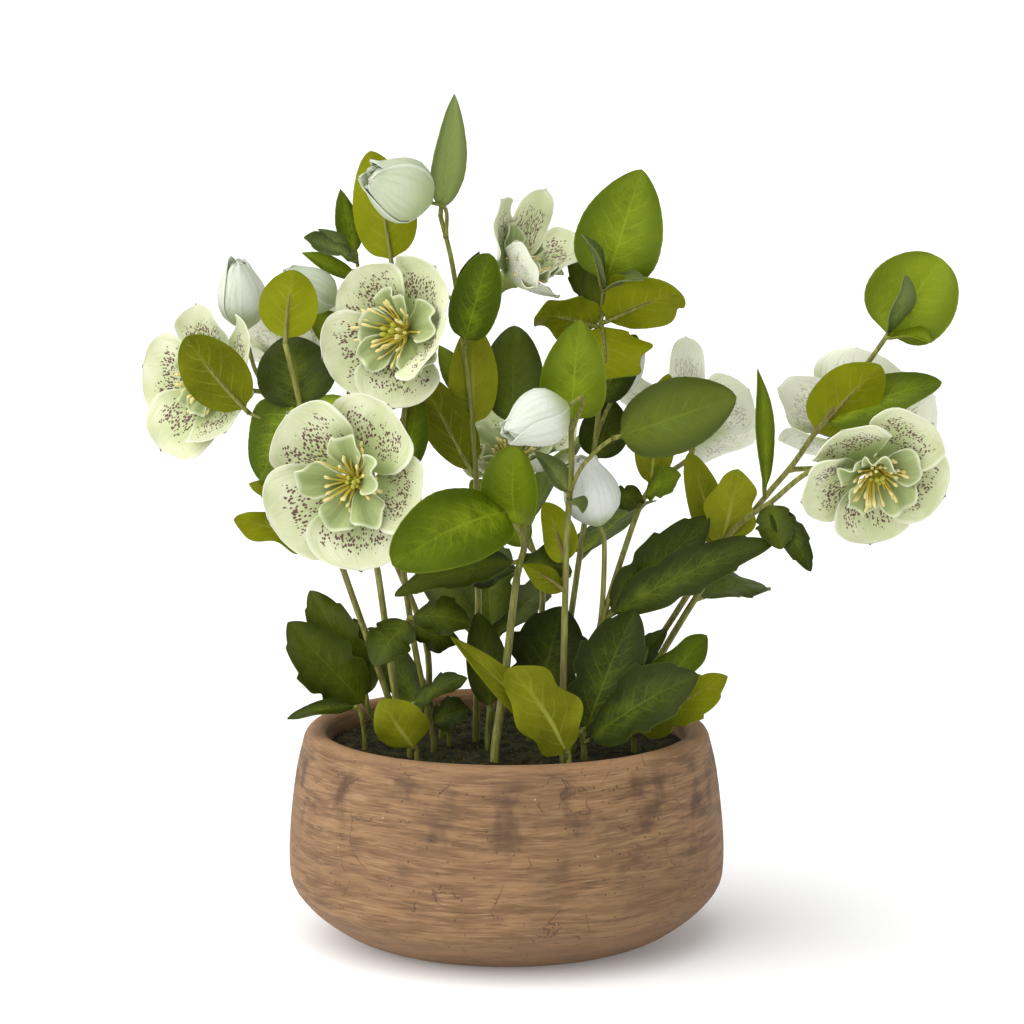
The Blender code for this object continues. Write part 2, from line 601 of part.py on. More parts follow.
def welded(shapes):
    """One shape from open ones whose edges meet point to point."""
    points, faces, places = [], [], {}
    for some, more in shapes:
        index = []
        for p in some:
            key = tuple(np.round(p, 4))
            if key not in places:
                places[key] = len(points)
                points.append(p)
            index.append(places[key])
        faces += [tuple(index[i] for i in face) for face in more]
    return points, faces


def bloom_shape(name, centre, facing, radius, roll, cup):
    """One closed skin: a receptacle, a whorl of five broad tepals and, inside it, five ruffled petals."""
    axis = unit(facing)
    first, second = across_of(axis)
    centre = np.array(centre, float)
    shapes, rings = [], []
    for kind, start, height, reach, rise, width, bow, fold, offset in (
            ("tepal", 6.0, 0.0, 1.0, cup, 1.12, -0.10, 8, 0),
            ("petal", 3.2, 1.4, 0.56, 0.30 + 0.35 * cup, 0.52, -0.05, 22, 36)):
        low, high = [], []
        for k in range(5):
            turn = math.radians(roll + offset + 72 * k)
            out = math.cos(turn) * first + math.sin(turn) * second
            length = radius * (1 + 0.05 * math.sin(2.3 * k + radius))
            usual = (reach, rise, 1.0)
            wide, high_up, broad = FOLDED.get((name, kind, k), usual)
            base = centre + out * start + axis * height
            tip = centre + out * length * wide + axis * radius * high_up
            top, bottom = blade_grids(base, tip, radius * width * broad, axis + 0.2 * np.cross(axis, out),
                                      bow * radius, fold, kind)
            shapes.append(sheet(top, bottom, based=False))
            low += bottom[0][::-1]
            high += top[0][::-1]
        shapes.append(band(low, high, only=(3, 2)))
        rings.append((low, high))
    back = centre + axis * RECEPTACLE_BACK
    outer, inner = rings
    ring = []
    for p in outer[0]:
        spread = p - centre - axis * np.dot(p - centre, axis)
        ring.append(back + RECEPTACLE_RADIUS * unit(spread))
    shapes.append(capped(ring, back, False))
    shapes.append(band(ring, outer[0]))
    shapes.append(band(outer[1][2:] + outer[1][:2], inner[0]))
    shapes.append(capped(inner[1], centre + axis * 2.0, True))
    return welded(shapes)


def stamen_shapes(centre, facing, radius, count):
    """A small dome with spreading three-sided filaments, each with a thicker end."""
    axis = unit(facing)
    first, second = across_of(axis)
    centre = np.array(centre, float)
    shapes = [revolved([(0, 2.6), (2.0, 2.6), (2.4, 4.4), (0, 6.6)], 6, centre, axis)]
    for k in range(count):
        turn = k * 2.399963
        lean = math.radians(14 + 26 * ((k * 0.618) % 1))
        out = math.cos(turn) * first + math.sin(turn) * second
        ahead = math.cos(lean) * axis + math.sin(lean) * out
        start = centre + axis * 4.6 + out * 0.8
        length = radius * (0.30 + 0.05 * ((k * 0.37) % 1))
        shapes.append(tube([start, start + ahead * length], (0.45, 0.8), 3))
    return shapes


def bud_shape(base, tip, width):
    """A closed bud of three petals, each lapping over the next by a step, open at the very tip."""
    base, tip = np.array(base, float), np.array(tip, float)
    length = np.linalg.norm(tip - base)
    axis = (tip - base) / length
    first, second = across_of(axis)
    rings = []
    for s, reach in BUD_PROFILE:
        ring = []
        for k in range(12):
            share = (0, 0.34, 0.68, 0.97)[k % 4]
            turn = math.radians(120 * (k // 4 + share) + 25 * s)
            out = math.cos(turn) * first + math.sin(turn) * second
            lift = 0.07 * s * math.sin(math.pi * share) * (reach > 0.2)
            lap = 1.07 - 0.17 * share * min(1, 6 * s)
            ring.append(base + axis * length * (s + lift) + out * width * reach * lap)
        rings.append(ring)
    shapes = [band(low, high) for low, high in zip(rings, rings[1:])]
    shapes.append(capped(rings[0], base, False))
    shapes.append(capped(rings[-1], base + axis * length * 0.80, True))
    return welded(shapes)


def build_pot():
    profile = [(0, 0)] + POT_OUTER + POT_INNER + [(78, POT_FLOOR), (0, POT_FLOOR)]
    return add_solid("pot", revolved(profile, POT_SIDES, (0, 0, 0), (0, 0, 1)), (0, 0, 0), "pot")


def build_soil():
    rng = random.Random(7)
    wall = [(r - SOIL_GAP, z) for r, z in reversed(POT_INNER) if z < SOIL_TOP]
    share = (SOIL_TOP - wall[-1][1]) / (POT_INNER[1][1] - wall[-1][1])
    rim = wall[-1][0] + share * (POT_INNER[1][0] - SOIL_GAP - wall[-1][0])
    profile = [(0, POT_FLOOR + SOIL_GAP), (77, POT_FLOOR + SOIL_GAP)] + wall
    profile += [(rim, SOIL_TOP - 1), (66, SOIL_TOP), (32, SOIL_TOP), (0, SOIL_TOP)]
    points, faces = revolved(profile, POT_SIDES, (0, 0, 0), (0, 0, 1))
    for p in points:
        if p[2] == SOIL_TOP:
            p[2] += SOIL_BUMP * rng.uniform(-1, 1)
    soil = add_solid("soil", (points, faces), (0, 0, 0), "soil")
    cutters = []
    for name, (foot, runs, _) in STEMS.items():
        radius = (runs[0][0][0] + HOLE_GAP) / math.cos(math.pi / 6)
        hole = [(0, HOLE_BOTTOM), (radius, HOLE_BOTTOM), (radius, SOIL_TOP + 9), (0, SOIL_TOP + 9)]
        shape = revolved(hole, 6, (*foot, 0), (0, 0, 1))
        cutters.append(add_solid(name + "_hole", shape, (0, 0, 0), None))
    apply_boolean(soil, cutters, "DIFFERENCE")
    keep_main_body(soil)
    return soil


def build():
    for obj in list(bpy.data.objects):
        bpy.data.objects.remove(obj, do_unlink=True)
    build_pot()
    build_soil()
    for name, (foot, runs, blades) in STEMS.items():
        colour = "dark_leaf" if name.startswith("basal") and name not in LIGHT_BASAL else "leaf"
        fused(name, stem_shapes(foot, runs, blades), (*foot, SOIL_TOP), colour)
    for name, (centre, facing, radius, roll, cup) in BLOOMS.items():
        add_solid(name, bloom_shape(name, centre, facing, radius, roll, cup), centre, "tepal")
        count = STAMENS_BACK if name in BACK_BLOOMS else STAMENS_FRONT
        threads = stamen_shapes(centre, facing, radius, count)
        fused(name.replace("bloom", "stamens"), threads, centre, "stamen")
    for name, (base, tip, width) in BUDS.items():
        add_solid(name, bud_shape(base, tip, width), base, "bud")


build()
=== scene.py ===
"""Potted hellebore: fine leaves, speckled blooms, buds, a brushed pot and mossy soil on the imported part.

The layout tables are in millimetres in the part's own frame: +Z up, the front of the plant towards -Y.
"""

import math
import random

import bpy
import numpy as np
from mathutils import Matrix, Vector, noise


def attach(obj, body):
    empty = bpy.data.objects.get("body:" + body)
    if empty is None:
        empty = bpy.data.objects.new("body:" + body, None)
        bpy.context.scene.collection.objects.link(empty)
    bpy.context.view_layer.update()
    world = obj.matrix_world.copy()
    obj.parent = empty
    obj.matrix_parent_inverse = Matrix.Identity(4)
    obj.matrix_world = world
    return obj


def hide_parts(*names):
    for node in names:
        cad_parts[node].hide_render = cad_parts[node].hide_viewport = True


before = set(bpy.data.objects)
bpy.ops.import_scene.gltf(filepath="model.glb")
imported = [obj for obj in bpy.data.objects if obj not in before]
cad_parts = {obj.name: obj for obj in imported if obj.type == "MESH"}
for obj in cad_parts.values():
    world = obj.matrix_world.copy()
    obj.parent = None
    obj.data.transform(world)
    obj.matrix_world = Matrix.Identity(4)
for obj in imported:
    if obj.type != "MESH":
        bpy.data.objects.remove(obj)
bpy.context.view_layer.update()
MM = 0.001

# The photo's camera: in front of the pot and above it, looking a little down, with a long lens.
CAMERA_PLACE = (0.0028, -2.6, 0.6504)
CAMERA_TILT = 80.71
CAMERA_LENS = 178.12

# Pot: outer and inner outline as (radius, height).
POT_OUTER = [(71, 0), (84, 4.5), (96, 12), (105.2, 20), (112.3, 30), (114, 43), (113.3, 62)]
POT_OUTER += [(110, 89), (106.8, 104), (105.3, 108.6), (102.6, 111.3), (99.5, 112)]
POT_INNER = [(96.6, 111.2), (94.6, 108.6), (93.5, 103), (94.6, 92), (97, 70), (90, 16)]
POT_SIDES = 128
# How far the wall strays from round, as a share of its radius.
POT_SWELL = 0.006

# Soil: its edge, top and underside, and how far its lumps rise and fall.
SOIL_RIM = 93.2
SOIL_TOP = 102.0
SOIL_BOTTOM = 60
SOIL_SIDES = 96
SOIL_RINGS = 30
SOIL_LUMPS = 3.0
FOOT_BOTTOM = 85.0
FOOT_TOP = 108.0
MOSS_STRANDS = 1100
STRAND_OUTLINE = [(0.32, 0), (0.28, 0.5), (0.10, 1.0)]

# Blades: two exponents that shape the half width from base to tip, least half width, teeth, depth of a tooth
# or wave of the outline, wave of the edge in mm, waves along the edge, curl of the tip.
FORMS = {
    "oval": (0.46, 0.66, 0.8, 13, 0.015, 1.1, 1.4, 3.0),
    "round": (0.42, 0.50, 0.8, 13, 0.015, 1.3, 1.2, 2.5),
    "heart": (0.34, 0.72, 0.8, 13, 0.015, 1.4, 1.3, 3.0),
    "lance": (0.65, 0.90, 0.8, 9, 0.03, 0.8, 1.3, 3.0),
    "wavy": (0.46, 0.62, 0.8, 0, 0.14, 2.6, 1.6, 4.0),
    "cut": (0.62, 0.76, 0.8, 4.6, 0.17, 2.2, 1.4, 5.0),
    "tepal": (0.70, 0.52, 3.4, 5, 0.012, 2.2, 1.5, -1.5),
    "petal": (0.80, 0.20, 1.3, 0, 0, 1.2, 1.6, 0.8),
}
LEAF_THICKNESS = 0.7
TEPAL_THICKNESS = 0.6
BUD_THICKNESS = 0.5
CRISP_ANGLE = 60
# A blade: the share of its length that is a narrow stalk, the share after it over which its waves grow,
# its sway to one side as a share of its width, the groove over its rib, and waves between its veins.
STALK_SHARE = 0.08
GROWING_SHARE = 0.25
SIDE_SWAY = 0.05
GROOVE_DEPTH = 0.5
GROOVE_WIDTH = 1.1
VEIN_WAVES = 6.5
# The rib under a blade: the share of the blade that it reaches, its radius at its tip, and how much more
# radius it has at its base.
RIB_REACH = 0.66
RIB_TIP = 0.18
RIB_TAPER = 1.15
RIB_PARTS = 14
# Stalks: the gap below a bloom or bud, the straight end that points at it, parts between two points,
# and how a branch swells where it leaves its stem and a stem below its bloom, and how far that reaches.
SOCKET_GAP = 0.3
SOCKET_RUN = 9
CURVE_PARTS = 6
FORK_SWELL = 0.45
FORK_REACH = 2.5
NECK_SWELL = 0.9
NECK_REACH = 5
# Points of a stalk that are closer than this become one.
WELD = 0.02

# Light: the key light's turn and width in degrees, its strength, and the strength of the pale room.
KEY_TURN = (42, 0, -60)
KEY_WIDTH = 100
KEY_STRENGTH = 3.1
ROOM_STRENGTH = 0.50
# Metres that the floor is wide.
FLOOR_SIZE = 80

# Finishes: patterns have their sizes in mm, and one as big as METRE keeps its own scale.
METRE = 1000
DENT_STRENGTH = 0.7

# Blooms: front of the receptacle, facing, radius, angle of the first tepal, how far it closes.
# A folded one has its own reach and rise, as shares of the radius, and share of the usual width.
BLOOMS = {
    "bloom_1": ((-75, -57, 251), (-0.34, -0.93, 0.03), 48, 62, 0.26),
    "bloom_2": ((-51, -30, 323), (-0.42, -0.9, 0.14), 41, 54, 0.36),
    "bloom_3": ((-151, 18, 290), (-0.66, -0.66, 0.25), 42, 90, 0.36),
    "bloom_4": ((2, -4, 348), (0.62, -0.3, 0.72), 31, 108, 1.05),
    "bloom_5": ((187, -48, 257), (0.15, -0.87, -0.42), 40, 50, 0.3),
    "bloom_6": ((181, 16, 261), (0.1, 0.75, 0.6), 45, 52, 0.45),
    "bloom_7": ((98, 46, 261), (0.1, 0.7, 0.65), 43, 117, 0.45),
    "bloom_8": ((3, 46, 240), (0.0, -0.35, 0.94), 38, 30, 0.5),
    "bloom_9": ((-108, 66, 292), (-0.1, 0.5, 0.82), 40, 20, 0.5),
}
FOLDED = {
    ("bloom_1", "tepal", 4): (0.84, 0.36, 0.8),
    ("bloom_1", "petal", 4): (0.40, 0.60, 0.9),
    ("bloom_5", "petal", 0): (0.42, 0.56, 0.9),
    ("bloom_2", "tepal", 4): (0.75, 0.6, 1.0),
    ("bloom_3", "petal", 1): (0.42, 0.3, 0.8),
    ("bloom_3", "petal", 2): (0.42, 0.3, 0.8),
    ("bloom_4", "tepal", 0): (0.95, 1.3, 0.6),
    ("bloom_4", "tepal", 2): (0.75, 0.8, 0.8),
    ("bloom_4", "tepal", 3): (0.8, 0.4, 0.9),
    ("bloom_4", "tepal", 4): (0.85, 1.1, 1.0),
    ("bloom_7", "tepal", 2): (1.1, 0.6, 0.45),
    ("bloom_7", "tepal", 3): (0.75, 0.45, 0.85),
}
# A bloom has this many tepals and as many petals. The petals stray this far in turn, length, rise and width.
RING = 5
LOOSE = (9, 0.14, 0.09, 0.16)
# Outlines of a bloom's receptacle and of the dome of its threads, and of one thread with its length as 1.
RECEPTACLE_BACK = -9
NECK_OUTLINE = [(2.3, -9), (2.6, -7), (4.2, -3.5), (6.2, -1), (5.6, 1.4), (3.4, 2.6)]
DOME_OUTLINE = [(2.6, 2.2), (3.1, 3.2), (2.9, 4.6), (1.9, 5.8), (0.7, 6.4)]
THREAD_OUTLINE = [(0.60, 0), (0.56, 0.2), (0.53, 0.4), (0.50, 0.6), (0.50, 0.80), (0.90, 0.87), (0.98, 0.94)]
THREAD_OUTLINE += [(0.50, 1.0)]
THREADS = 44
TUFT_THREADS = 6
GOLDEN_ANGLE = 2.399963
# How far the tips of a bloom's threads lean to one side.
SWEEPS = {"stamens_2": (-7, 0, 1), "stamens_4": (6, 0, -2), "stamens_5": (0, 0, -3)}

# Buds: base, tip and width.
BUDS = {
    "bud_1": ((-39, -22, 389), (-73, -34, 406), 36),
    "bud_2": ((-136, 27, 318), (-140, 24, 356), 28),
    "bud_3": ((-89, 10, 333), (-116, 2, 350), 25),
    "bud_4": ((31, -64, 290), (-3, -72, 275), 32),
    "bud_5": ((48, -22, 222), (38, -24, 259), 31),
    "bud_6": ((56, 14, 284), (71, 24, 313), 18),
}

# Outline of a bud's petals: share of its length, share of its width. The heart inside is (width, length).
BUD_PROFILE = [(0, 0.07), (0.08, 0.24), (0.20, 0.39), (0.36, 0.46), (0.54, 0.44), (0.70, 0.36), (0.86, 0.24)]
BUD_PROFILE += [(1, 0.15)]
HEART_OUTLINE = [(0.05, 0), (0.18, 0.10), (0.32, 0.32), (0.31, 0.56), (0.24, 0.72), (0.13, 0.82)]
HEART_OUTLINE += [(0.03, 0.86)]
# How green a bud is, from white at 0. bud_5 is white to lift it in the leaves' shade, painted light; bud_4 is
# greener to darken it where the key light falls full on it, painted shade.
BUD_GREENS_AND_PAINTED_LIGHT = {"bud_1": 1.0, "bud_2": 0.45, "bud_3": 0.75, "bud_4": 0.3, "bud_5": 0.0, "bud_6": 0.2}

# Stems: the foot in the soil, then runs as (radius at each end, what stands on the end, points),
# then blades as (base, tip, width, facing, bow, fold in degrees, outline).
# The first run starts at the foot. Every other run and every blade grows from the nearest run.
STEMS = {
    "stem_a": ((-56, -2), [
        ((1.9, 1.4), None, [(-82, -28, 193), (-96, -32, 237), (-105, -32, 283), (-113, -34, 318)]),
        ((1.2, 1.0), None, [(-105, -30, 282), (-120, -26, 277), (-133, -26, 281)]),
        ((1.4, 1.3), "bloom_3", [(-103, -28, 267), (-98, 2, 264), (-116, 32, 280)]),
    ], [
        ((-113, -34, 318), (-108, -34, 356), 31, (0.1, 1, 0.2), 4, 10, "oval"),
        ((-132, -26, 281), (-164, -36, 322), 33, (-0.2, 1, 0.3), 4, 10, "oval"),
        ((-105, -28, 283), (-113, -15, 320), 41, (0, -1, 0.3), 4, 6, "oval"),
        ((-104, -32, 287), (-128, -27, 246), 42, (-0.3, -0.9, 0.5), 3, 12, "heart"),
        ((-105, -31, 284), (-74, -36, 288), 12, (0, -0.5, 0.8), 2, 10, "lance"),
        ((-89, -30, 215), (-140, -46, 227), 21, (0, 0.7, -0.6), -4, 8, "oval"),
        ((-95, -30, 234), (-132, -22, 242), 14, (0, 0.7, -0.6), -3, 8, "cut"),
    ]),
    "stem_b": ((-50, -28), [
        ((1.9, 1.6), "bloom_1", [(-57, -30, 131), (-66, -37, 199), (-73, -39, 235)]),
    ], []),
    "stem_c": ((-34, 12), [
        ((1.8, 1.4), "bloom_2", [(-45, 4, 137), (-54, -12, 202), (-55, -20, 250), (-51, -12, 291)]),
    ], [
        ((-51, -11, 288), (-64, 0, 353), 24, (0, -1, 0.3), 3, 8, "oval"),
        ((-54, -19, 245), (-45, -10, 287), 18, (0, -1, 0.3), 3, 8, "oval"),
    ]),
    "stem_d": ((-16, 8), [
        ((2.0, 1.2), None, [(-15, 6, 156), (-15, -1, 221), (-18, -7, 275), (-23, -10, 322),
                            (-28, -14, 357), (-34, -16, 382)]),
        ((1.5, 1.3), "bloom_4", [(-22, -8, 312), (-16, 0, 330)]),
        ((1.1, 1.0), None, [(-25, -10, 337), (-42, -2, 344), (-59, -3, 354)]),
        ((1.1, 1.0), "bud_1", [(-31, -15, 370)]),
    ], [
        ((-34, -16, 381), (-26, -22, 444), 20, (0.5, -1, 0), 3, 14, "lance"),
        ((-59, -3, 354), (-70, 4, 413), 33, (0.1, 1, 0.2), 4, 8, "oval"),
        ((-22, -9, 314), (-9, -27, 363), 26, (-0.1, -1, 0.2), 4, 10, "round"),
        ((-25, -10, 337), (-14, 4, 361), 9, (0, -1, 0.3), 2, 8, "lance"),
        ((-16, -5, 244), (-45, -14, 300), 27, (0.2, 1, 0.2), 4, 10, "oval"),
        ((-17, -6, 269), (-17, 2, 324), 26, (0.2, -1, 0.3), 4, 8, "oval"),
        ((-19, -8, 282), (-35, 8, 312), 14, (0.2, -1, 0.3), 3, 8, "lance"),
    ]),
    "stem_e": ((-6, -50), [
        ((2.6, 1.5), None, [(-1, -46, 145), (5, -40, 196), (9, -36, 214), (4, -38, 227), (0, -38, 238)]),
        ((1.6, 1.2), None, [(5, -38, 194), (11, -15, 223), (7, -2, 253), (3, 4, 270)]),
    ], [
        ((1, -38, 231), (-55, -120, 220), 42, (-0.2, -1, 0.25), 13, 8, "round"),
        ((5, -38, 223), (4, -58, 268), 32, (-0.3, -0.9, 0.3), 7, 18, "round"),
        ((3, 4, 267), (4, 26, 320), 32, (0, -1, 0.2), 4, 8, "oval"),
        ((7, -38, 206), (-57, -64, 194), 22, (0, -0.6, 0.8), 4, 10, "cut"),
        ((7, -38, 204), (34, -26, 200), 20, (0, -0.6, 0.8), 4, 10, "cut"),
        ((6, -38, 201), (-23, -20, 191), 22, (0, -0.6, 0.8), 4, 10, "cut"),
    ]),
    "stem_f": ((29, -46), [
        ((1.9, 1.5), None, [(29, -47, 136), (30, -48, 187), (31, -48, 224), (33, -46, 254), (33, -45, 278)]),
        ((1.2, 1.1), None, [(32, -46, 243), (38, -50, 256), (47, -50, 266), (54, -48, 271)]),
        ((1.2, 1.1), "bud_4", [(33, -45, 274)]),
    ], [
        ((33, -45, 277), (37, -50, 332), 35, (-0.1, -1, 0.15), 4, 10, "heart"),
        ((30, -48, 239), (39, -60, 235), 12, (0.5, -0.8, 0.6), 3, 24, "lance"),
        ((31, -48, 242), (15, -44, 264), 14, (0.5, -0.8, 0.4), 3, 20, "lance"),
        ((54, -48, 271), (116, -62, 295), 41, (0, -0.9, 0.5), 6, 8, "oval"),
        ((30, -48, 205), (20, -30, 235), 20, (0.2, 0.9, 0.3), 3, 10, "oval"),
        ((30, -48, 191), (8, -52, 206), 14, (0, 0.8, -0.6), -3, 10, "lance"),
    ]),
    "stem_g": ((34, -12), [
        ((2.1, 1.3), "bloom_7", [(36, -14, 116), (49, -20, 169), (62, -12, 210), (71, -2, 232),
                                 (80, 14, 240)]),
        ((1.5, 1.3), "bud_5", [(49, -20, 166), (50, -21, 188)]),
    ], [
        ((50, -20, 173), (105, -16, 226), 30, (0.3, -0.8, 0.5), 6, 12, "cut"),
        ((50, -20, 172), (136, -38, 218), 27, (0.2, -0.75, 0.6), 9, 12, "cut"),
        ((71, -2, 237), (54, -12, 232), 16, (0, -0.8, 0.6), 3, 10, "cut"),
        ((71, -2, 238), (89, -18, 248), 18, (0, -0.8, 0.6), 3, 10, "cut"),
        ((74, 2, 240), (84, 4, 297), 22, (0, -1, 0.2), 3, 8, "oval"),
    ]),
    "stem_h": ((24, 30), [
        ((1.9, 1.2), None, [(31, 24, 147), (38, 18, 197), (45, 8, 251), (48, 2, 283), (48, -6, 315),
                            (50, -10, 343)]),
        ((1.1, 1.0), "bud_6", [(47, 5, 262)]),
    ], [
        ((50, -10, 343), (69, -14, 405), 46, (-0.1, -1, 0.25), 5, 8, "heart"),
        ((50, -10, 342), (39, -35, 374), 16, (0.5, -0.5, 0.7), 4, 24, "lance"),
        ((50, -10, 341), (70, -34, 352), 15, (0, -0.6, 0.8), 4, 24, "lance"),
        ((48, -6, 323), (14, -27, 332), 29, (0.1, 0.85, 0.5), 4, 10, "oval"),
        ((48, -7, 325), (89, -30, 345), 40, (0, 0.8, 0.6), 5, 10, "oval"),
        ((48, -8, 325), (50, -34, 298), 44, (0, 0.9, 0.4), 4, 8, "oval"),
        ((48, -4, 325), (33, 14, 362), 15, (0, -1, 0.3), 3, 12, "cut"),
        ((49, -6, 324), (43, 4, 353), 14, (0, -1, 0.3), 3, 12, "cut"),
        ((38, 18, 197), (78, 68, 222), 36, (0.2, 0.5, 0.8), 6, 8, "oval"),
        ((48, 2, 280), (67, 0, 318), 22, (0, -1, 0.2), 3, 8, "oval"),
        ((47, 9, 250), (55, 18, 282), 26, (0, -1, 0.2), 3, 8, "oval"),
    ]),
    "stem_i": ((51, 30), [
        ((1.9, 1.4), "bloom_5", [(81, 14, 157), (115, -8, 214), (137, -20, 234), (155, -26, 250)]),
    ], [
        ((106, -3, 207), (95, 4, 256), 20, (0.2, -0.9, 0.3), 3, 12, "oval"),
        ((108, -4, 208), (120, -10, 249), 27, (0.2, -0.9, 0.3), 3, 10, "oval"),
        ((136, -19, 233), (141, -36, 212), 21, (0, -0.9, 0.4), 4, 12, "cut"),
        ((136, -19, 233), (157, -36, 200), 15, (0, -0.9, 0.4), 8, 12, "cut"),
    ]),
    "stem_j": ((60, 8), [
        ((2.0, 1.3), None, [(89, 8, 162), (122, 4, 215), (135, -6, 235), (148, -12, 252),
                            (159, -20, 270), (174, -24, 291), (186, -26, 308), (196, -28, 323)]),
        ((1.4, 1.3), "bloom_6", [(146, -11, 249)]),
    ], [
        ((194, -27, 319), (222, -32, 361), 48, (0, -1, 0.3), 5, 10, "round"),
        ((195, -27, 320), (216, -46, 321), 17, (0.4, -0.6, 0.6), 4, 22, "lance"),
        ((196, -28, 321), (203, -46, 354), 18, (0.6, -0.8, 0.2), 4, 20, "oval"),
        ((158, -20, 267), (191, -38, 308), 34, (0.1, 1, 0.3), 5, 8, "oval"),
        ((162, -20, 274), (223, -26, 298), 26, (0, -0.8, 0.6), 5, 12, "oval"),
        ((98, 8, 178), (142, 64, 176), 20, (0.1, -0.6, 0.8), 6, 10, "cut"),
        ((132, -3, 236), (131, 8, 299), 12, (0.5, -0.8, 0.3), 4, 20, "lance"),
    ]),
    "stem_k": ((10, 24), [
        ((1.9, 1.3), "bloom_8", [(19, 22, 175), (12, 26, 206)]),
    ], [
        ((14, 24, 201), (-19, 34, 237), 22, (0, -1, 0.3), 4, 10, "oval"),
        ((9, 28, 216), (42, 76, 258), 34, (0.2, 0.5, 0.8), 6, 8, "oval"),
    ]),
    "stem_l": ((-42, 42), [
        ((1.9, 1.3), "bloom_9", [(-43, 34, 151), (-64, 34, 205), (-84, 40, 252), (-97, 50, 270)]),
        ((1.4, 1.1), "bud_2", [(-81, 34, 243), (-104, 36, 272), (-128, 36, 288)]),
        ((1.2, 1.0), "bud_3", [(-85, 34, 250), (-82, 22, 291), (-78, 15, 318)]),
        ((1.1, 1.0), None, [(-80, 17, 312), (-76, 18, 336), (-78, 16, 358)]),
    ], [
        ((-78, 16, 357), (-86, 14, 392), 13, (0, -1, 0.3), 2, 8, "lance"),
        ((-78, 16, 356), (-97, 10, 372), 9, (0, -0.8, 0.5), 2, 10, "lance"),
        ((-78, 16, 354), (-104, 0, 369), 14, (0, -0.7, 0.7), 3, 12, "cut"),
        ((-77, 18, 344), (-106, 18, 359), 10, (0, -0.8, 0.6), 2, 8, "lance"),
        ((-83, 17, 310), (-102, 20, 327), 18, (0, -1, 0.3), 2, 8, "oval"),
        ((-64, 34, 205), (-108, 80, 232), 36, (-0.2, 0.5, 0.8), 6, 8, "oval"),
    ]),
    "basal_a": ((-66, 8), [((1.7, 1.3), None, [(-72, 2, 119), (-74, 0, 130)])], [
        ((-72, 1, 121), (-113, -14, 169), 34, (-0.2, -0.85, 0.5), 5, 12, "cut"),
        ((-74, 0, 130), (-103, 4, 183), 26, (-0.1, -0.9, 0.3), 4, 12, "cut"),
        ((-73, 0, 125), (-80, 6, 168), 20, (0, -1, 0.3), 4, 10, "cut"),
    ]),
    "basal_b": ((-38, -22), [((1.6, 1.2), None, [(-44, -30, 143), (-50, -46, 178)])], [
        ((-50, -46, 177), (-68, -62, 156), 25, (-0.2, -0.8, 0.5), 4, 8, "cut"),
        ((-49, -46, 178), (-18, -58, 177), 23, (0, -0.7, 0.7), 4, 8, "cut"),
        ((-50, -44, 174), (-25, -30, 160), 18, (0.1, -0.8, -0.5), 3, 8, "cut"),
    ]),
    "basal_c": ((-74, -14), [((1.5, 1.2), None, [(-75, -17, 118), (-77, -19, 126)])], [
        ((-76, -19, 126), (-114, -26, 122), 13, (0, -0.4, 0.9), 3, 10, "lance"),
    ]),
    "basal_d": ((-46, -54), [((1.5, 1.3), None, [(-48, -55, 114)])], [
        ((-48, -55, 110), (-64, -64, 138), 30, (-0.4, -0.8, 0.4), 3, -20, "heart"),
    ]),
    "basal_e": ((-30, -6), [((1.5, 1.2), None, [(-43, -12, 117), (-49, -34, 130)])], [
        ((-48, -34, 130), (-21, -46, 147), 14, (0.2, -0.7, 0.7), 3, 10, "cut"),
        ((-43, -12, 118), (-66, 14, 155), 22, (0, -1, 0.2), 3, 8, "cut"),
        ((-40, -10, 114), (-19, -2, 122), 20, (0.1, -0.7, 0.7), 3, 8, "cut"),
    ]),
    "basal_f": ((32, -66), [((1.6, 1.4), None, [(30, -67, 112)])], [
        ((31, -66, 108), (2, -72, 157), 34, (0.3, -0.9, 0.3), 5, 14, "oval"),
        ((10, -71, 139), (-28, -60, 171), 16, (0.2, -0.8, 0.6), 4, 12, "lance"),
    ]),
    "basal_g": ((12, 2), [((1.6, 1.3), None, [(13, 4, 120)])], [
        ((13, 4, 118), (29, 14, 173), 42, (0, -0.9, 0.4), 5, 8, "cut"),
    ]),
    "basal_h": ((40, -40), [((1.7, 1.5), None, [(38, -42, 118)])], [
        ((38, -42, 112), (66, -34, 180), 38, (-0.1, -0.9, 0.3), 5, 12, "cut"),
        ((39, -42, 110), (97, -62, 152), 38, (-0.2, -0.8, 0.6), 7, 12, "cut"),
        ((38, -41, 117), (84, -14, 168), 16, (0, -0.9, 0.4), 4, 12, "cut"),
    ]),
    "basal_i": ((66, -24), [((1.6, 1.3), None, [(65, -24, 116)])], [
        ((65, -24, 111), (115, -32, 143), 28, (0.2, 0.7, -0.7), -4, 8, "cut"),
        ((65, -23, 115), (104, -8, 162), 22, (0, -0.8, 0.5), 4, 10, "oval"),
    ]),
    "basal_j": ((-10, -14), [((1.6, 1.3), None, [(-9, -14, 124)])], [
        ((-9, -14, 122), (-15, -6, 173), 22, (0.2, -0.9, 0.3), 4, 10, "oval"),
    ]),
    "basal_k": ((-8, 58), [((1.7, 1.4), None, [(-8, 62, 124), (-8, 66, 150)])], [
        ((-8, 64, 140), (-46, 104, 172), 30, (-0.3, 0.3, 0.9), 5, 12, "cut"),
        ((-8, 66, 148), (-12, 112, 196), 32, (0, -0.5, 0.8), 6, 12, "cut"),
        ((-8, 65, 144), (34, 108, 176), 30, (0.3, 0.3, 0.9), 5, 12, "cut"),
    ]),
}
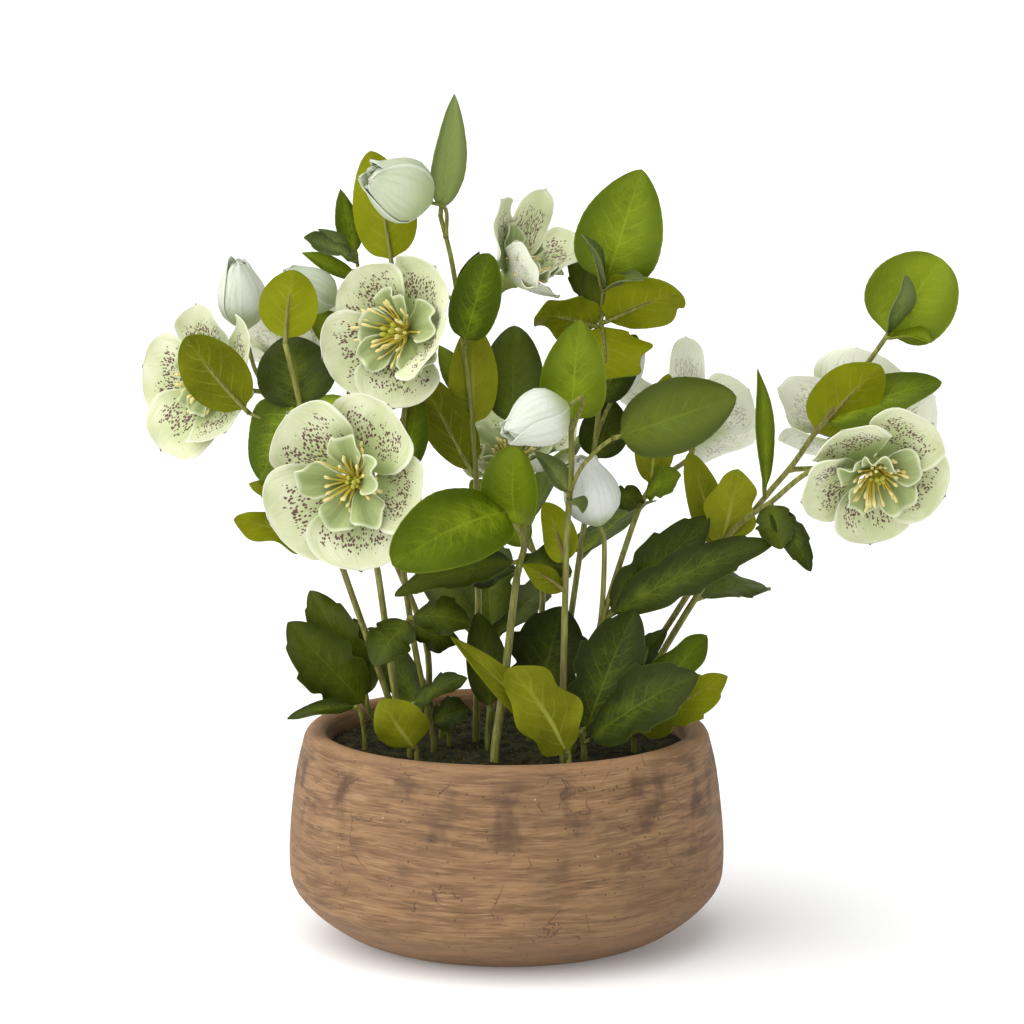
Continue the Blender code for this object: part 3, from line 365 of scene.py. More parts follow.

# Blades that aren't plain green, or dark green where their outline is cut: the finish, and how light it is.
# The dark finish on stem_f 3 and the low tones on stem_g 0 and 1 and basal_h 0 darken blades where the key
# light falls full on them: painted shade.
SHADES = {
    "stem_a": {2: ("dark", 0.3), 6: ("green", 0.3)},
    "stem_d": {0: ("grey", 1.0), 1: ("green", 1.0), 2: ("green", 0.0), 3: ("dark", 0.3), 5: ("olive", 0.6)},
    "stem_e": {0: ("green", 0.3), 1: ("green", 0.6), 2: ("dark", 0.8)},
    "stem_f": {0: ("green", 0.6), 1: ("grey", 0.3), 2: ("grey", 0.3), 3: ("dark", 1.0)},
    "stem_g": {0: ("dark", 0.2), 1: ("dark", 0.1), 3: ("green", 0.3), 4: ("olive", 0.5)},
    "stem_h": {0: ("green", 0.5), 1: ("grey", 0.3), 2: ("grey", 0.1), 9: ("dark", 0.4), 10: ("dark", 0.2)},
    "stem_i": {0: ("olive", 0.4), 1: ("olive", 0.7)},
    "stem_j": {0: ("green", 1.0), 1: ("green", 0.6), 2: ("grey", 0.4), 6: ("green", 0.4)},
    "stem_l": {1: ("grey", 0.2), 2: ("grey", 0.0)},
    "basal_a": {0: ("dark", 0.6), 1: ("dark", 0.7)},
    "basal_c": {0: ("dark", 0.3)},
    "basal_d": {0: ("olive", 0.4)},
    "basal_f": {0: ("olive", 0.2), 1: ("olive", 0.2)},
    "basal_h": {0: ("dark", -0.2), 1: ("dark", 0.1), 2: ("dark", 0.3)},
    "basal_i": {0: ("green", 0.5)},
    "basal_j": {0: ("dark", 0.4)},
}
FINISHES = {"green": 0, "dark": 2, "olive": 4, "grey": 6}
# Blades whose edges are drawn wavy.
WAVY = {"stem_a": (5,), "stem_e": (4, 5), "stem_h": (3, 4, 5), "stem_i": (1,), "basal_f": (0,),
        "basal_i": (1,)}
LIGHT_BASAL = ("basal_f", "basal_i")

# Shapes that are modelled once and copied, by name.
patterns = {}


def choose(*pieces):
    bpy.ops.object.select_all(action="DESELECT")
    for piece in pieces:
        piece.select_set(True)
    bpy.context.view_layer.objects.active = pieces[0]


def points_of(piece):
    flat = np.empty(len(piece.data.vertices) * 3, np.float32)
    piece.data.vertices.foreach_get("co", flat)
    return flat.reshape(-1, 3).astype(float)


def move_points(piece, points):
    piece.data.vertices.foreach_set("co", np.ascontiguousarray(points, np.float32).ravel())
    piece.data.update()


def shaped(pattern, points, tone):
    """A copy of a pattern with its own points in mm, and a number at each point that its finish reads."""
    piece = pattern.copy()
    piece.data = pattern.data.copy()
    bpy.context.scene.collection.objects.link(piece)
    move_points(piece, points * MM)
    layer = piece.data.attributes.new("tone", "FLOAT", "POINT")
    layer.data.foreach_set("value", np.broadcast_to(tone, len(points)).astype(np.float32))
    return piece


def joined(name, pieces):
    choose(*pieces)
    if len(pieces) > 1:
        bpy.ops.object.join()
    piece = bpy.context.object
    piece.name = piece.data.name = name
    return piece


def thicken(piece, thickness):
    """Gives a sheet its thickness and crisp edges. The under side takes the finish after the upper side's."""
    choose(piece)
    wall = piece.modifiers.new("Solidify", "SOLIDIFY")
    wall.thickness = thickness * MM
    wall.offset = 0
    wall.material_offset = 1
    bpy.ops.object.modifier_apply(modifier=wall.name)
    bpy.ops.object.mode_set(mode="EDIT")
    bpy.ops.mesh.select_mode(type="EDGE")
    bpy.ops.mesh.select_all(action="DESELECT")
    bpy.ops.mesh.edges_select_sharp(sharpness=math.radians(CRISP_ANGLE))
    bpy.ops.mesh.mark_sharp()
    bpy.ops.object.mode_set(mode="OBJECT")


def set_down(name, node, pieces, thickness=None, solids=()):
    """Joins pieces, thickens them if they are sheets, adds solid pieces, and stands the whole for a node."""
    piece = joined(name, pieces)
    if thickness:
        thicken(piece, thickness)
        piece = joined(name, [piece, *solids])
    piece.data.polygons.foreach_set("use_smooth", [True] * len(piece.data.polygons))
    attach(piece, "root")
    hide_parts(node)


def unit(v):
    v = np.asarray(v, float)
    return v / np.linalg.norm(v)


def across_of(axis):
    """Two directions square to the axis, the first as near +X as it can be."""
    axis = unit(axis)
    first = unit(np.array([1.0, 0.0, 0.0]) - axis * axis[0])
    return first, np.cross(axis, first)


def stood(points, centre, axis):
    """Points round the Z axis, moved so that they stand at a place along an axis."""
    first, second = across_of(axis)
    return centre + (points[:, :1] * first + points[:, 1:2] * second + points[:, 2:] * unit(axis))


# Patterns that are modelled once and copied.


def flat_sheet(columns, rows):
    """A sheet of squares, -1 to 1 across and 0 to 1 along, closer together at its ends."""
    bpy.ops.mesh.primitive_grid_add(x_subdivisions=columns, y_subdivisions=rows, size=2)
    sheet = bpy.context.object
    points = points_of(sheet)
    along = (points[:, 1] + 1) / 2
    points[:, 1] = 0.6 * along + 0.4 * (0.5 - 0.5 * np.cos(math.pi * along))
    move_points(sheet, points)
    corners = np.empty(len(sheet.data.loops), np.int32)
    sheet.data.loops.foreach_get("vertex_index", corners)
    places = points[corners]
    places[:, 0] = (places[:, 0] + 1) / 2
    sheet.data.uv_layers[0].data.foreach_set("uv", places[:, :2].astype(np.float32).ravel())
    return sheet


def turned(sides, outline):
    """A turned solid: a disc that is raised and resized along an outline of (radius, height)."""
    bpy.ops.object.select_all(action="DESELECT")
    radius, height = outline[0]
    bpy.ops.mesh.primitive_circle_add(vertices=sides, radius=radius, fill_type="NGON",
                                      location=(0, 0, height))
    piece = bpy.context.object
    bpy.ops.object.mode_set(mode="EDIT")
    bpy.ops.mesh.select_all(action="SELECT")
    for (r, z), (wider, higher) in zip(outline, outline[1:]):
        bpy.ops.mesh.extrude_region_move(TRANSFORM_OT_translate={"value": (0, 0, higher - z)})
        bpy.ops.transform.resize(value=(wider / r, wider / r, 1), center_override=(0, 0, higher))
    bpy.ops.mesh.select_all(action="SELECT")
    bpy.ops.mesh.normals_make_consistent(inside=False)
    bpy.ops.object.mode_set(mode="OBJECT")
    choose(piece)
    bpy.ops.object.transform_apply(location=True, rotation=True, scale=True)
    return piece


# Leaves, tepals and petals.


def half_width(kind, s, t, width, vary):
    """Half the width at points s across and t along. A cut blade has a few big teeth towards its tip."""
    rise, fall, narrow, teeth, depth = FORMS[kind][:5]
    rise = rise * (1 + vary)
    along = np.clip((t - STALK_SHARE) / (1 - STALK_SHARE), 0, 1)
    peak = rise / (rise + fall)
    share = along ** rise * (1 - along) ** fall / (peak ** rise * (1 - peak) ** fall)
    if kind == "petal":
        share = along ** rise * (1 - fall * along ** 4)
    elif kind == "cut":
        tooth = (t * teeth + 0.37 * (s > 0)) % 1
        share = share * (1 + depth * np.clip((t - 0.46) / 0.16, 0, 1) * (tooth ** 1.5 - 0.40))
        share = share * (1 - 0.22 * np.exp(-((t - 0.40 - 0.05 * (s > 0)) / 0.05) ** 2))
    elif kind == "wavy":
        share = share * (1 + depth * np.sin(2 * math.pi * (2.3 * t + 0.35 * (s > 0))) * (t > 0.15))
    else:
        share = share * (1 + depth * ((t * teeth) % 1 - 0.6) * (t > 0.2))
    return np.maximum(np.where(t > 0.9, 0.2, narrow), width / 2 * share)


def bow_of(base, tip, facing, bow):
    """The middle that a bowed blade leans out to, and the directions out of the blade and across it."""
    along = unit(np.subtract(tip, base))
    out = unit(np.array(facing, float) - along * np.dot(along, facing))
    return np.add(base, tip) / 2 + bow * out, out, np.cross(along, out)


def lay_blade(base, tip, width, facing, bow, fold, kind, seed, coat, tone=None):
    """A copy of a flat sheet with its outline, bowed and folded along its rib and waved at its edges."""
    rng = random.Random(seed)
    wave, waves, curl = FORMS[kind][5:]
    s, t = points_of(patterns[kind])[:, :2].T
    beside = np.abs(s)
    if kind == "petal":
        t = t * (1 - 0.34 * beside ** 3.4)
    length = np.linalg.norm(np.subtract(tip, base))
    middle, out, side = bow_of(base, tip, facing, bow)
    u = t[:, None]
    centre = (1 - u) ** 2 * base + 2 * u * (1 - u) * middle + u ** 2 * tip
    ahead = (1 - u) * (middle - base) + u * (tip - middle)
    ahead /= np.linalg.norm(ahead, axis=1)[:, None]
    across = s * half_width(kind, s, t, width, rng.uniform(-0.12, 0.12))
    across += SIDE_SWAY * width * rng.uniform(-1, 1) * np.sin(math.pi * t)
    grown = np.clip((t - STALK_SHARE) / GROWING_SHARE, 0, 1)
    turn = rng.uniform(0, 2 * math.pi)
    lift = np.abs(across) * math.sin(math.radians(fold)) * (0.45 + 0.55 * beside)
    normal = np.cross(side, ahead)
    if kind == "tepal":
        centre += ahead * (0.02 * length * (1 - beside) ** 2 * t ** 5)[:, None]
    if kind == "petal":
        lift += 2.8 * t ** 2 * np.cos(math.pi * rng.uniform(1.5, 2.3) * s + turn)
        lift += 0.4 * t ** 3 * np.cos(math.pi * 3.4 * s + 2.3 * turn)
        centre += ahead * (0.9 * t ** 3 * np.cos(math.pi * 2.0 * s + 2 * turn))[:, None]
    else:
        grown = grown * np.clip((1 - t) / 0.14, 0, 1)
    lift += wave * grown * s ** 2 * np.sin(2 * math.pi * waves * t + turn + 1.9 * (s > 0))
    lift -= curl * rng.uniform(0.3, 1) * np.clip((t - 0.6) / 0.4, 0, 1) ** 2 * length / 60
    if kind not in ("tepal", "petal"):
        quilt = np.cos(2 * math.pi * VEIN_WAVES * (t - 0.28 * beside ** 1.3))
        lift += 0.010 * width * grown * quilt * (1 - beside) * beside * 2
        lift -= GROOVE_DEPTH * grown * np.exp(-(across / GROOVE_WIDTH) ** 2)
        lift -= 0.02 * width * grown * beside ** 2.5
    points = centre + side * (across * math.cos(math.radians(fold)))[:, None] + normal * lift[:, None]
    piece = shaped(patterns[kind], points, rng.random() if tone is None else tone)
    piece.data.polygons.foreach_set("material_index", [coat] * len(piece.data.polygons))
    return piece


# Stalks.


def smooth_path(points, before, parts):
    """A curve through points, with a number of parts between each two."""
    knots = [np.array(p, float) for p in [before, *points]]
    knots.append(2 * knots[-1] - knots[-2])
    path = [knots[1]]
    for a, b, c, d in zip(knots, knots[1:], knots[2:], knots[3:]):
        for k in range(1, parts + 1):
            t = k / parts
            path.append(0.5 * (2 * b + (c - a) * t + (2 * a - 5 * b + 4 * c - d) * t ** 2
                               + (3 * b - a - 3 * c + d) * t ** 3))
    return path


def nearest_on(paths, point):
    best, found = 1e9, None
    for path in paths:
        for a, b in zip(path, path[1:]):
            share = np.clip(np.dot(point - a, b - a) / np.dot(b - a, b - a), 0, 1)
            spot = a + share * (b - a)
            if np.linalg.norm(point - spot) < best:
                best, found = np.linalg.norm(point - spot), spot
    return found


def socket_of(name):
    """Where a stem ends under a bloom or bud, and the direction it points there."""
    if name in BLOOMS:
        centre, facing = BLOOMS[name][:2]
        return centre + unit(facing) * (RECEPTACLE_BACK - SOCKET_GAP), unit(facing)
    base, tip = BUDS[name][:2]
    axis = unit(np.subtract(tip, base))
    return base - axis * SOCKET_GAP, axis


def stem_paths(foot, runs):
    """Each run's straight-sided line, as in the part, and its smooth line with a radius at every point."""
    plain, fine = [], []
    for number, (radii, end, points) in enumerate(runs):
        points = [np.array(p, float) for p in points]
        if end:
            socket, axis = socket_of(end)
            points += [socket - axis * SOCKET_RUN, socket]
        if number:
            points[0] = nearest_on(plain, points[0])
            before, low = points[0], []
        else:
            before = np.array([*foot, FOOT_BOTTOM], float)
            points.insert(0, np.array([*foot, FOOT_TOP], float))
            low = [before]
        plain.append(low + smooth_path(points, before, 1))
        path = low + smooth_path(points, before, CURVE_PARTS)
        steps = np.cumsum([0] + [np.linalg.norm(b - a) for a, b in zip(path, path[1:])])
        radius = radii[0] + (radii[1] - radii[0]) * steps / steps[-1]
        if number:
            radius = radius * (1 + FORK_SWELL * np.exp(-(steps / FORK_REACH) ** 2))
        if end in BLOOMS:
            radius = radius + NECK_SWELL * np.exp(-((steps[-1] - steps) / NECK_REACH) ** 2)
        fine.append((path, radius))
    return plain, fine


def rib_of(root, tip, width, facing, bow, seed):
    """The rib under a blade, from its stalk to past its middle, swaying sideways with the blade."""
    rng = random.Random(seed)
    rng.random()
    sway = SIDE_SWAY * width * rng.uniform(-1, 1)
    middle, out, side = bow_of(root, tip, facing, bow)
    path, radius = [], []
    for k in range(RIB_PARTS + 1):
        t = RIB_REACH * k / RIB_PARTS
        thick = RIB_TAPER * (1 - t / RIB_REACH) ** 0.7 + RIB_TIP
        spot = (1 - t) ** 2 * root + 2 * t * (1 - t) * middle + t ** 2 * np.array(tip, float)
        grown = min(1, max(t - STALK_SHARE, 0) / GROWING_SHARE)
        sink = GROOVE_DEPTH * grown + thick * 0.75 * min(1, t / STALK_SHARE)
        path.append(spot - out * sink + side * sway * math.sin(math.pi * t))
        radius.append(thick)
    return path, radius


def stalks_of(name, lines):
    """One mesh of round stalks from lines of points, each with a radius at every point."""
    curve = bpy.data.curves.new(name, "CURVE")
    curve.dimensions = "3D"
    curve.bevel_depth = MM
    curve.bevel_resolution = 2
    curve.use_fill_caps = True
    for path, radius in lines:
        spline = curve.splines.new("POLY")
        spline.points.add(len(path) - 1)
        for point, place, r in zip(spline.points, path, radius):
            point.co = (*(place * MM), 1)
            point.radius = r
    piece = bpy.data.objects.new(name, curve)
    bpy.context.scene.collection.objects.link(piece)
    choose(piece)
    bpy.ops.object.convert(target="MESH")
    bpy.ops.object.mode_set(mode="EDIT")
    bpy.ops.mesh.select_all(action="SELECT")
    bpy.ops.mesh.remove_doubles(threshold=WELD * MM)
    bpy.ops.mesh.normals_make_consistent(inside=False)
    bpy.ops.object.mode_set(mode="OBJECT")
    return bpy.context.object


def add_stem(name, foot, runs, blades, stalk_coat):
    plain, lines = stem_paths(foot, runs)
    leaves = []
    for number, (base, tip, width, facing, bow, fold, kind) in enumerate(blades):
        root = nearest_on(plain, np.array(base, float))
        usual = ("dark" if kind == "cut" else "green", None)
        shade, tone = SHADES.get(name, {}).get(number, usual)
        kind = "wavy" if number in WAVY.get(name, ()) else kind
        seed = f"{name} {number}"
        leaves.append(lay_blade(root, tip, width, facing, bow, fold, kind, seed, FINISHES[shade], tone))
        lines.append(rib_of(root, tip, width, facing, bow, seed))
    slot = "leaf_dark" if name.startswith("basal") and name not in LIGHT_BASAL else "leaf_green"
    stalks = stalks_of(name + "_stalks", lines)
    stalks.data.materials.append(stalk_coat)
    set_down(name + "_stalks", name, [stalks])
    if leaves:
        set_down(name + "_leaves", name, leaves, LEAF_THICKNESS)


# Blooms and buds.


def add_bloom(name, centre, facing, radius, roll, cup):
    axis = unit(facing)
    first, second = across_of(axis)
    rng = random.Random(name)
    sheets = []
    for kind, start, height, reach, rise, width, bow, fold, offset in (
            ("tepal", 4.0, 0.0, 1.0, cup, 1.12, -0.10, 12, 0),
            ("petal", 1.2, 1.4, 0.58, 0.27 + 0.35 * cup, 0.70, 0.02, 16, 36)):
        for k in range(RING):
            loose = [most * rng.uniform(-1, 1) if offset else 0 for most in LOOSE]
            turn = math.radians(roll + offset + 360 / RING * k + loose[0])
            out = math.cos(turn) * first + math.sin(turn) * second
            length = radius * (1 + 0.05 * math.sin(2.3 * k + radius) + loose[1])
            wide, high_up, broad = FOLDED.get((name, kind, k), (reach, rise, 1.0))
            broad = broad * (1.06 + loose[3]) if offset else broad
            base = centre + out * start + axis * height
            tip = centre + out * length * wide + axis * radius * (high_up + loose[2])
            sheets.append(lay_blade(base, tip, radius * width * broad, axis + 0.2 * np.cross(axis, out),
                                    bow * radius, fold, kind, f"{name} {kind} {k}", 2 if offset else 0))
    neck = patterns["neck"]
    neck = shaped(neck, stood(points_of(neck), centre, axis), 0.5)
    set_down(name + "_tepals", name, sheets, TEPAL_THICKNESS, [neck])


def add_stamens(name, centre, facing, radius):
    """A ring of threads that spread and hook a little, round a tuft of short thick ones."""
    rng = random.Random(name)
    axis = unit(facing)
    first, second = across_of(axis)
    dome = patterns["dome"]
    threads = [shaped(dome, stood(points_of(dome), centre, axis), 0.0)]
    points = points_of(patterns["thread"])
    x, y, z = points[:, :1], points[:, 1:2], points[:, 2:]
    sweep = np.array(SWEEPS.get(name, (0, 0, 0)), float)
    for k in range(THREADS):
        inner = k < TUFT_THREADS
        turn = k * GOLDEN_ANGLE + rng.uniform(-0.25, 0.25)
        lean = math.radians(rng.uniform(6, 16) if inner else rng.uniform(24, 66))
        out = math.cos(turn) * first + math.sin(turn) * second
        side = np.cross(axis, out)
        ahead = math.cos(lean) * axis + math.sin(lean) * out
        start = centre + axis * 4.4 + out * (0.8 if inner else 1.8)
        length = radius * (rng.uniform(0.14, 0.19) if inner else rng.uniform(0.27, 0.44))
        bend = length * rng.uniform(-0.1, 0.45)
        sway = length * rng.uniform(-0.3, 0.3)
        stout = 1.4 if inner else 1.0
        points = start + stout * (x * side + y * np.cross(side, ahead)) + ahead * z * length
        points += (out * 0.5 - axis * 0.8) * bend * z ** 2 + (side * sway + sweep) * z ** 2
        threads.append(shaped(patterns["thread"], points, 0.15 if inner else 0.2 + 0.8 * z[:, 0]))
    set_down(name + "_threads", name, threads)


def add_bud(name, base, tip, width):
    """Three broad petals that lap over each other, wrapped round two inner ones and a closed heart."""
    rng = random.Random(name)
    length = np.linalg.norm(np.subtract(tip, base))
    axis = unit(np.subtract(tip, base))
    first, second = across_of(axis)
    start = rng.uniform(0, 120)
    s, t = points_of(patterns["wrap"])[:, :2].T
    petals = []
    for k in range(5):
        inner = k > 2
        taper = np.sqrt(np.clip(1 - (np.clip(t - 0.45, 0, 1) / 0.55) ** 2.6, 0.004, 1))
        spread = math.radians(66 if inner else 82) * taper
        turn = math.radians(start + 120 * k + 60 * inner) + s * spread + 0.30 * t
        lap = 1.0 + 0.05 * s - 0.10 * inner
        flare = rng.uniform(-0.04, 0.06) * np.clip((t - 0.7) / 0.3, 0, 1) ** 2
        reach = np.interp(t, *zip(*BUD_PROFILE)) * lap + flare
        reach += 0.014 * np.sin(7 * s + 5 * t + k) * t + 0.018 * np.abs(s) ** 3 * t ** 3
        ring = np.cos(turn)[:, None] * first + np.sin(turn)[:, None] * second
        rise = length * t * (rng.uniform(0.90, 1.0) - 0.05 * inner)
        rise = rise + length * 0.02 * t ** 6 * np.cos(11 * s + 3 * k)
        points = base + axis * rise[:, None] + ring * (width * np.maximum(reach, 0.01))[:, None]
        petals.append(shaped(patterns["wrap"], points, BUD_GREENS_AND_PAINTED_LIGHT[name]))
    heart = patterns["heart of a bud"]
    points = stood(points_of(heart) * (width, width, length), base, axis)
    set_down(name + "_petals", name, petals, BUD_THICKNESS, [shaped(heart, points, BUD_GREENS_AND_PAINTED_LIGHT[name])])


# Pot and soil.


def add_pot(coat):
    outline = [*smooth_path(POT_OUTER, (60, -1), 3), *POT_INNER]
    pot = turned(POT_SIDES, [(r * MM, z * MM) for r, z in outline])
    points = points_of(pot)
    for i, (x, y, z) in enumerate(points):
        swell = noise.noise(Vector((x * 14, y * 14, z * 30))) * 0.5
        points[i, :2] *= 1 + swell * POT_SWELL
    move_points(pot, points)
    pot.data.materials.append(coat)
    set_down("pot_body", "pot", [pot])


def add_soil(coat):
    rings = [(SOIL_RIM, SOIL_BOTTOM), (SOIL_RIM, SOIL_TOP - 4), (SOIL_RIM - 0.3, SOIL_TOP - 1)]
    rings += [(SOIL_RIM * (1 - k / SOIL_RINGS), SOIL_TOP) for k in range(1, SOIL_RINGS)]
    soil = turned(SOIL_SIDES, [(r * MM, z * MM) for r, z in rings])
    points = points_of(soil)
    for i, (x, y, z) in enumerate(points):
        if z > (SOIL_TOP - 0.5) * MM:
            lumps = noise.noise(Vector((x * 45, y * 45, 0)))
            lumps += 0.6 * noise.noise(Vector((x * 130, y * 130, 3)))
            points[i, 2] += SOIL_LUMPS * MM * lumps * min(1, (SOIL_RIM * MM - math.hypot(x, y)) / 0.006)
    move_points(soil, points)
    soil.data.materials.append(coat)
    set_down("soil_top", "soil", [soil])


def add_moss():
    rng = random.Random(3)
    tufts = []
    p = points_of(patterns["strand"])
    for _ in range(MOSS_STRANDS):
        reach = SOIL_RIM * 0.97 * math.sqrt(rng.random())
        turn = rng.uniform(0, 2 * math.pi)
        x, y = reach * math.cos(turn), reach * math.sin(turn)
        z = SOIL_TOP + 1.2 * noise.noise(Vector((x * 0.045, y * 0.045, 0)))
        lean = rng.uniform(0.3, 1.4)
        way = rng.uniform(0, 2 * math.pi)
        ahead = np.array([math.cos(way) * math.sin(lean), math.sin(way) * math.sin(lean), math.cos(lean)])
        side, across = across_of(ahead)
        length = rng.uniform(2.5, 8)
        bend = np.array([rng.uniform(-1, 1), rng.uniform(-1, 1), -0.7]) * length * 0.35
        place = np.array([x, y, z - 0.8]) + p[:, :1] * side + p[:, 1:2] * across
        place = place + ahead * p[:, 2:] * length + bend * p[:, 2:] ** 2
        flat = np.hypot(place[:, 0], place[:, 1])
        place[:, :2] *= np.minimum(1, (SOIL_RIM - 0.3) / flat)[:, None]
        tufts.append(shaped(patterns["strand"], place, rng.random()))
    set_down("soil_moss", "soil", tufts)


# Finishes. An amount is what a node gives at each point: a number, a colour or a place.


class Amount:
    def __init__(self, socket):
        self.socket = socket

    def __add__(self, other):
        return calc("ADD", self, other)

    def __sub__(self, other):
        return calc("SUBTRACT", self, other)

    def __mul__(self, other):
        return calc("MULTIPLY", self, other)


def wire(socket, value):
    if isinstance(value, Amount):
        socket.id_data.links.new(value.socket, socket)
    elif isinstance(value, tuple) and len(value) == 3 and socket.type == "RGBA":
        socket.default_value = (*value, 1)
    else:
        socket.default_value = value


def node_by(amount, kind, *values, **settings):
    """A new node in the same finish as an amount, with values on its first sockets."""
    node = amount.socket.id_data.nodes.new("ShaderNode" + kind)
    for setting, value in settings.items():
        setattr(node, setting, value)
    for socket, value in zip(node.inputs, values):
        wire(socket, value)
    return node


def calc(operation, first, *others):
    return Amount(node_by(first, "Math", first, *others, operation=operation).outputs[0])


def eased(value, low, high, bottom=0.0, top=1.0):
    """Goes smoothly from bottom to top as a value goes from low to high."""
    node = node_by(value, "MapRange", value, low, high, bottom, top, interpolation_type="SMOOTHSTEP")
    return Amount(node.outputs[0])


def mixed(share, first, second):
    node = node_by(share, "Mix", share, data_type="RGBA")
    wire(node.inputs[6], first)
    wire(node.inputs[7], second)
    return Amount(node.outputs[2])


def layered(colour, *layers):
    """A colour with others over it, each with its share."""
    for share, over in layers:
        colour = mixed(share, colour, over)
    return colour


def parts_of(place):
    return [Amount(part) for part in node_by(place, "SeparateXYZ", place).outputs]


def pattern_on(place, kind, scale, stretch, **settings):
    """A noise or cell pattern on places that are first stretched."""
    spread = node_by(place, "Mapping", place)
    spread.inputs["Scale"].default_value = stretch
    node = node_by(place, kind, Amount(spread.outputs[0]), **settings)
    node.inputs["Scale"].default_value = scale
    return node


def cloud(place, size, detail=2.0, stretch=(1, 1, 1)):
    """A soft noise, 0 to 1, whose patches are about size mm across."""
    node = pattern_on(place, "TexNoise", METRE / size, stretch)
    node.inputs["Detail"].default_value = detail
    return Amount(node.outputs[0])


def cells(place, size, feature="F1", stretch=(1, 1, 1)):
    """Distance from the middles of scattered cells, or from the lines between them, and their colours."""
    node = pattern_on(place, "TexVoronoi", METRE / size, stretch, feature=feature)
    return Amount(node.outputs[0]), Amount(node.outputs[1])


def bent(place, size, far):
    """The same places, each shifted by up to far mm, so that straight lines wander."""
    wander = node_by(place, "TexNoise", place)
    wander.inputs["Scale"].default_value = METRE / size
    shift = node_by(place, "VectorMath", Amount(wander.outputs["Color"]), (2 * far * MM,) * 3, place,
                    operation="MULTIPLY_ADD")
    return Amount(shift.outputs[0])


def finish_of(name, roughness, specular, **sockets):
    """A finish, the object's coordinates, and the sheet's own places across and along."""
    finish = bpy.data.materials.new(name)
    finish.use_nodes = True
    shader = finish.node_tree.nodes["Principled BSDF"]
    for socket, value in dict(sockets, Roughness=roughness, Specular_IOR_Level=specular).items():
        shader.inputs[socket.replace("_", " ")].default_value = value
    place = finish.node_tree.nodes.new("ShaderNodeTexCoord")
    return finish, Amount(place.outputs["Object"]), Amount(place.outputs["UV"])


def pale_cloth(name, roughness, specular, sheen, glow, tint):
    """The finish of thin pale cloth that lets a little light in."""
    return finish_of(name, roughness, specular, Sheen_Weight=sheen, Subsurface_Weight=glow,
                     Subsurface_Radius=tint, Subsurface_Scale=0.003)


def given(finish, colour, height=None, depth=0.3, rough=None):
    """The finish with its colour, and with dents and roughness where they are given."""
    shader = finish.node_tree.nodes["Principled BSDF"]
    wire(shader.inputs["Base Color"], colour)
    if rough:
        wire(shader.inputs["Roughness"], rough)
    if height:
        bump = node_by(height, "Bump", DENT_STRENGTH, depth * MM)
        wire(bump.inputs["Height"], height)
        wire(shader.inputs["Normal"], Amount(bump.outputs[0]))
    return finish


def tone_of(place):
    return Amount(node_by(place, "Attribute", attribute_name="tone").outputs["Fac"])


def across_and_along(flat):
    """Distance from the rib, 0 to 1, which side of it, and distance along it."""
    u, v = parts_of(flat)[:2]
    return calc("ABSOLUTE", u * 2.0 - 1.0), calc("GREATER_THAN", u, 0.5), v


def veins_of(a, side, v, place, count, slant):
    """Fine lines that leave the rib on both sides and run forward to the edge."""
    ahead = v - calc("POWER", a, 1.25) * slant + (cloud(place, 11) * 0.10 + side * 0.06)
    return eased(calc("PINGPONG", ahead * count, 0.5), 0.02, 0.10, 1.0, 0.0)


def net_of(place):
    """A fine net of lines between the veins."""
    return eased(cells(bent(place, 4, 1.2), 2.6, "DISTANCE_TO_EDGE")[0], 0.0, 0.09, 1.0, 0.0)


def streaks(flat, count):
    """Fine lines that run from a petal's base to its tip and spread a little on the way."""
    return cloud(flat, METRE, 3, (count, count * 0.09, 1))


def rim_of(a, v, start=0.90, end=0.99):
    return eased(calc("MAXIMUM", a, v), start, end) * 0.7


def leaf_top(name, dark, light, vein, glow, gloss):
    """Dark at the edges and bright beside the rib, with fine veins, small puckers and yellowish specks."""
    finish, place, flat = finish_of(name, gloss, 0.10)
    a, side, v = across_and_along(flat)
    share = tone_of(place) * 0.7 + cloud(place, 24, 3) * 0.6
    near = eased(a, 0.0, 0.72, 1.0, 0.0) * eased(v, 0.98, 0.15, 0.10, 1.0)
    near = near * eased(cloud(place, 9, 4), 0.32, 0.66, 0.15, 1.0)
    fade = eased(a, 0.15, 0.85, 1.0, 0.06) * eased(v, 1.0, 0.35, 0.3, 1.0)
    twigs = calc("MAXIMUM", veins_of(a, side, v, place, 21.0, 0.10) * 0.24, net_of(place) * 0.26)
    lines = calc("MAXIMUM", veins_of(a, side, v, place, 8.0, 0.30) * 0.42, twigs) * fade
    rib = eased(a, v * 0.02, 0.055, 1.0, 0.0) * eased(v, 0.95, 0.20, 0.10, 0.70)
    specks = eased(cells(place, 1.7)[0], 0.06, 0.16, 1.0, 0.0) * 0.28
    colour = layered(mixed(eased(share, 0.25, 1.0), dark, light),
                     (eased(a, 0.40, 1.0) * 0.55, dark), (near, glow), (lines, vein), (rib, vein),
                     (eased(a, 0.95, 1.0) * 0.22, vein), (specks, vein))
    height = lines * -0.8 + cloud(place, 0.9, 2) * 0.25 - rib + cloud(place, 7, 2) * 2.6
    rough = eased(cloud(place, 12, 3), 0.3, 0.7, gloss - 0.10, gloss + 0.10)
    return given(finish, colour, height, 0.45, rough)


def leaf_under(name, dark, light, vein):
    finish, place, flat = finish_of(name, 0.62, 0.08)
    a, side, v = across_and_along(flat)
    share = tone_of(place) * 0.6 + cloud(place, 20, 3)
    sides = veins_of(a, side, v, place, 6.0, 0.34) * eased(a, 0.1, 0.8, 0.30, 0.05)
    lines = calc("MAXIMUM", sides, net_of(place) * 0.10)
    rib = eased(a, 0.03, 0.11, 1.0, 0.0) * eased(v, 0.85, 0.25, 0.1, 0.9)
    colour = mixed(calc("MAXIMUM", lines, rib), mixed(eased(share, 0.35, 1.15), dark, light), vein)
    return given(finish, colour, lines + cloud(place, 0.9, 2))


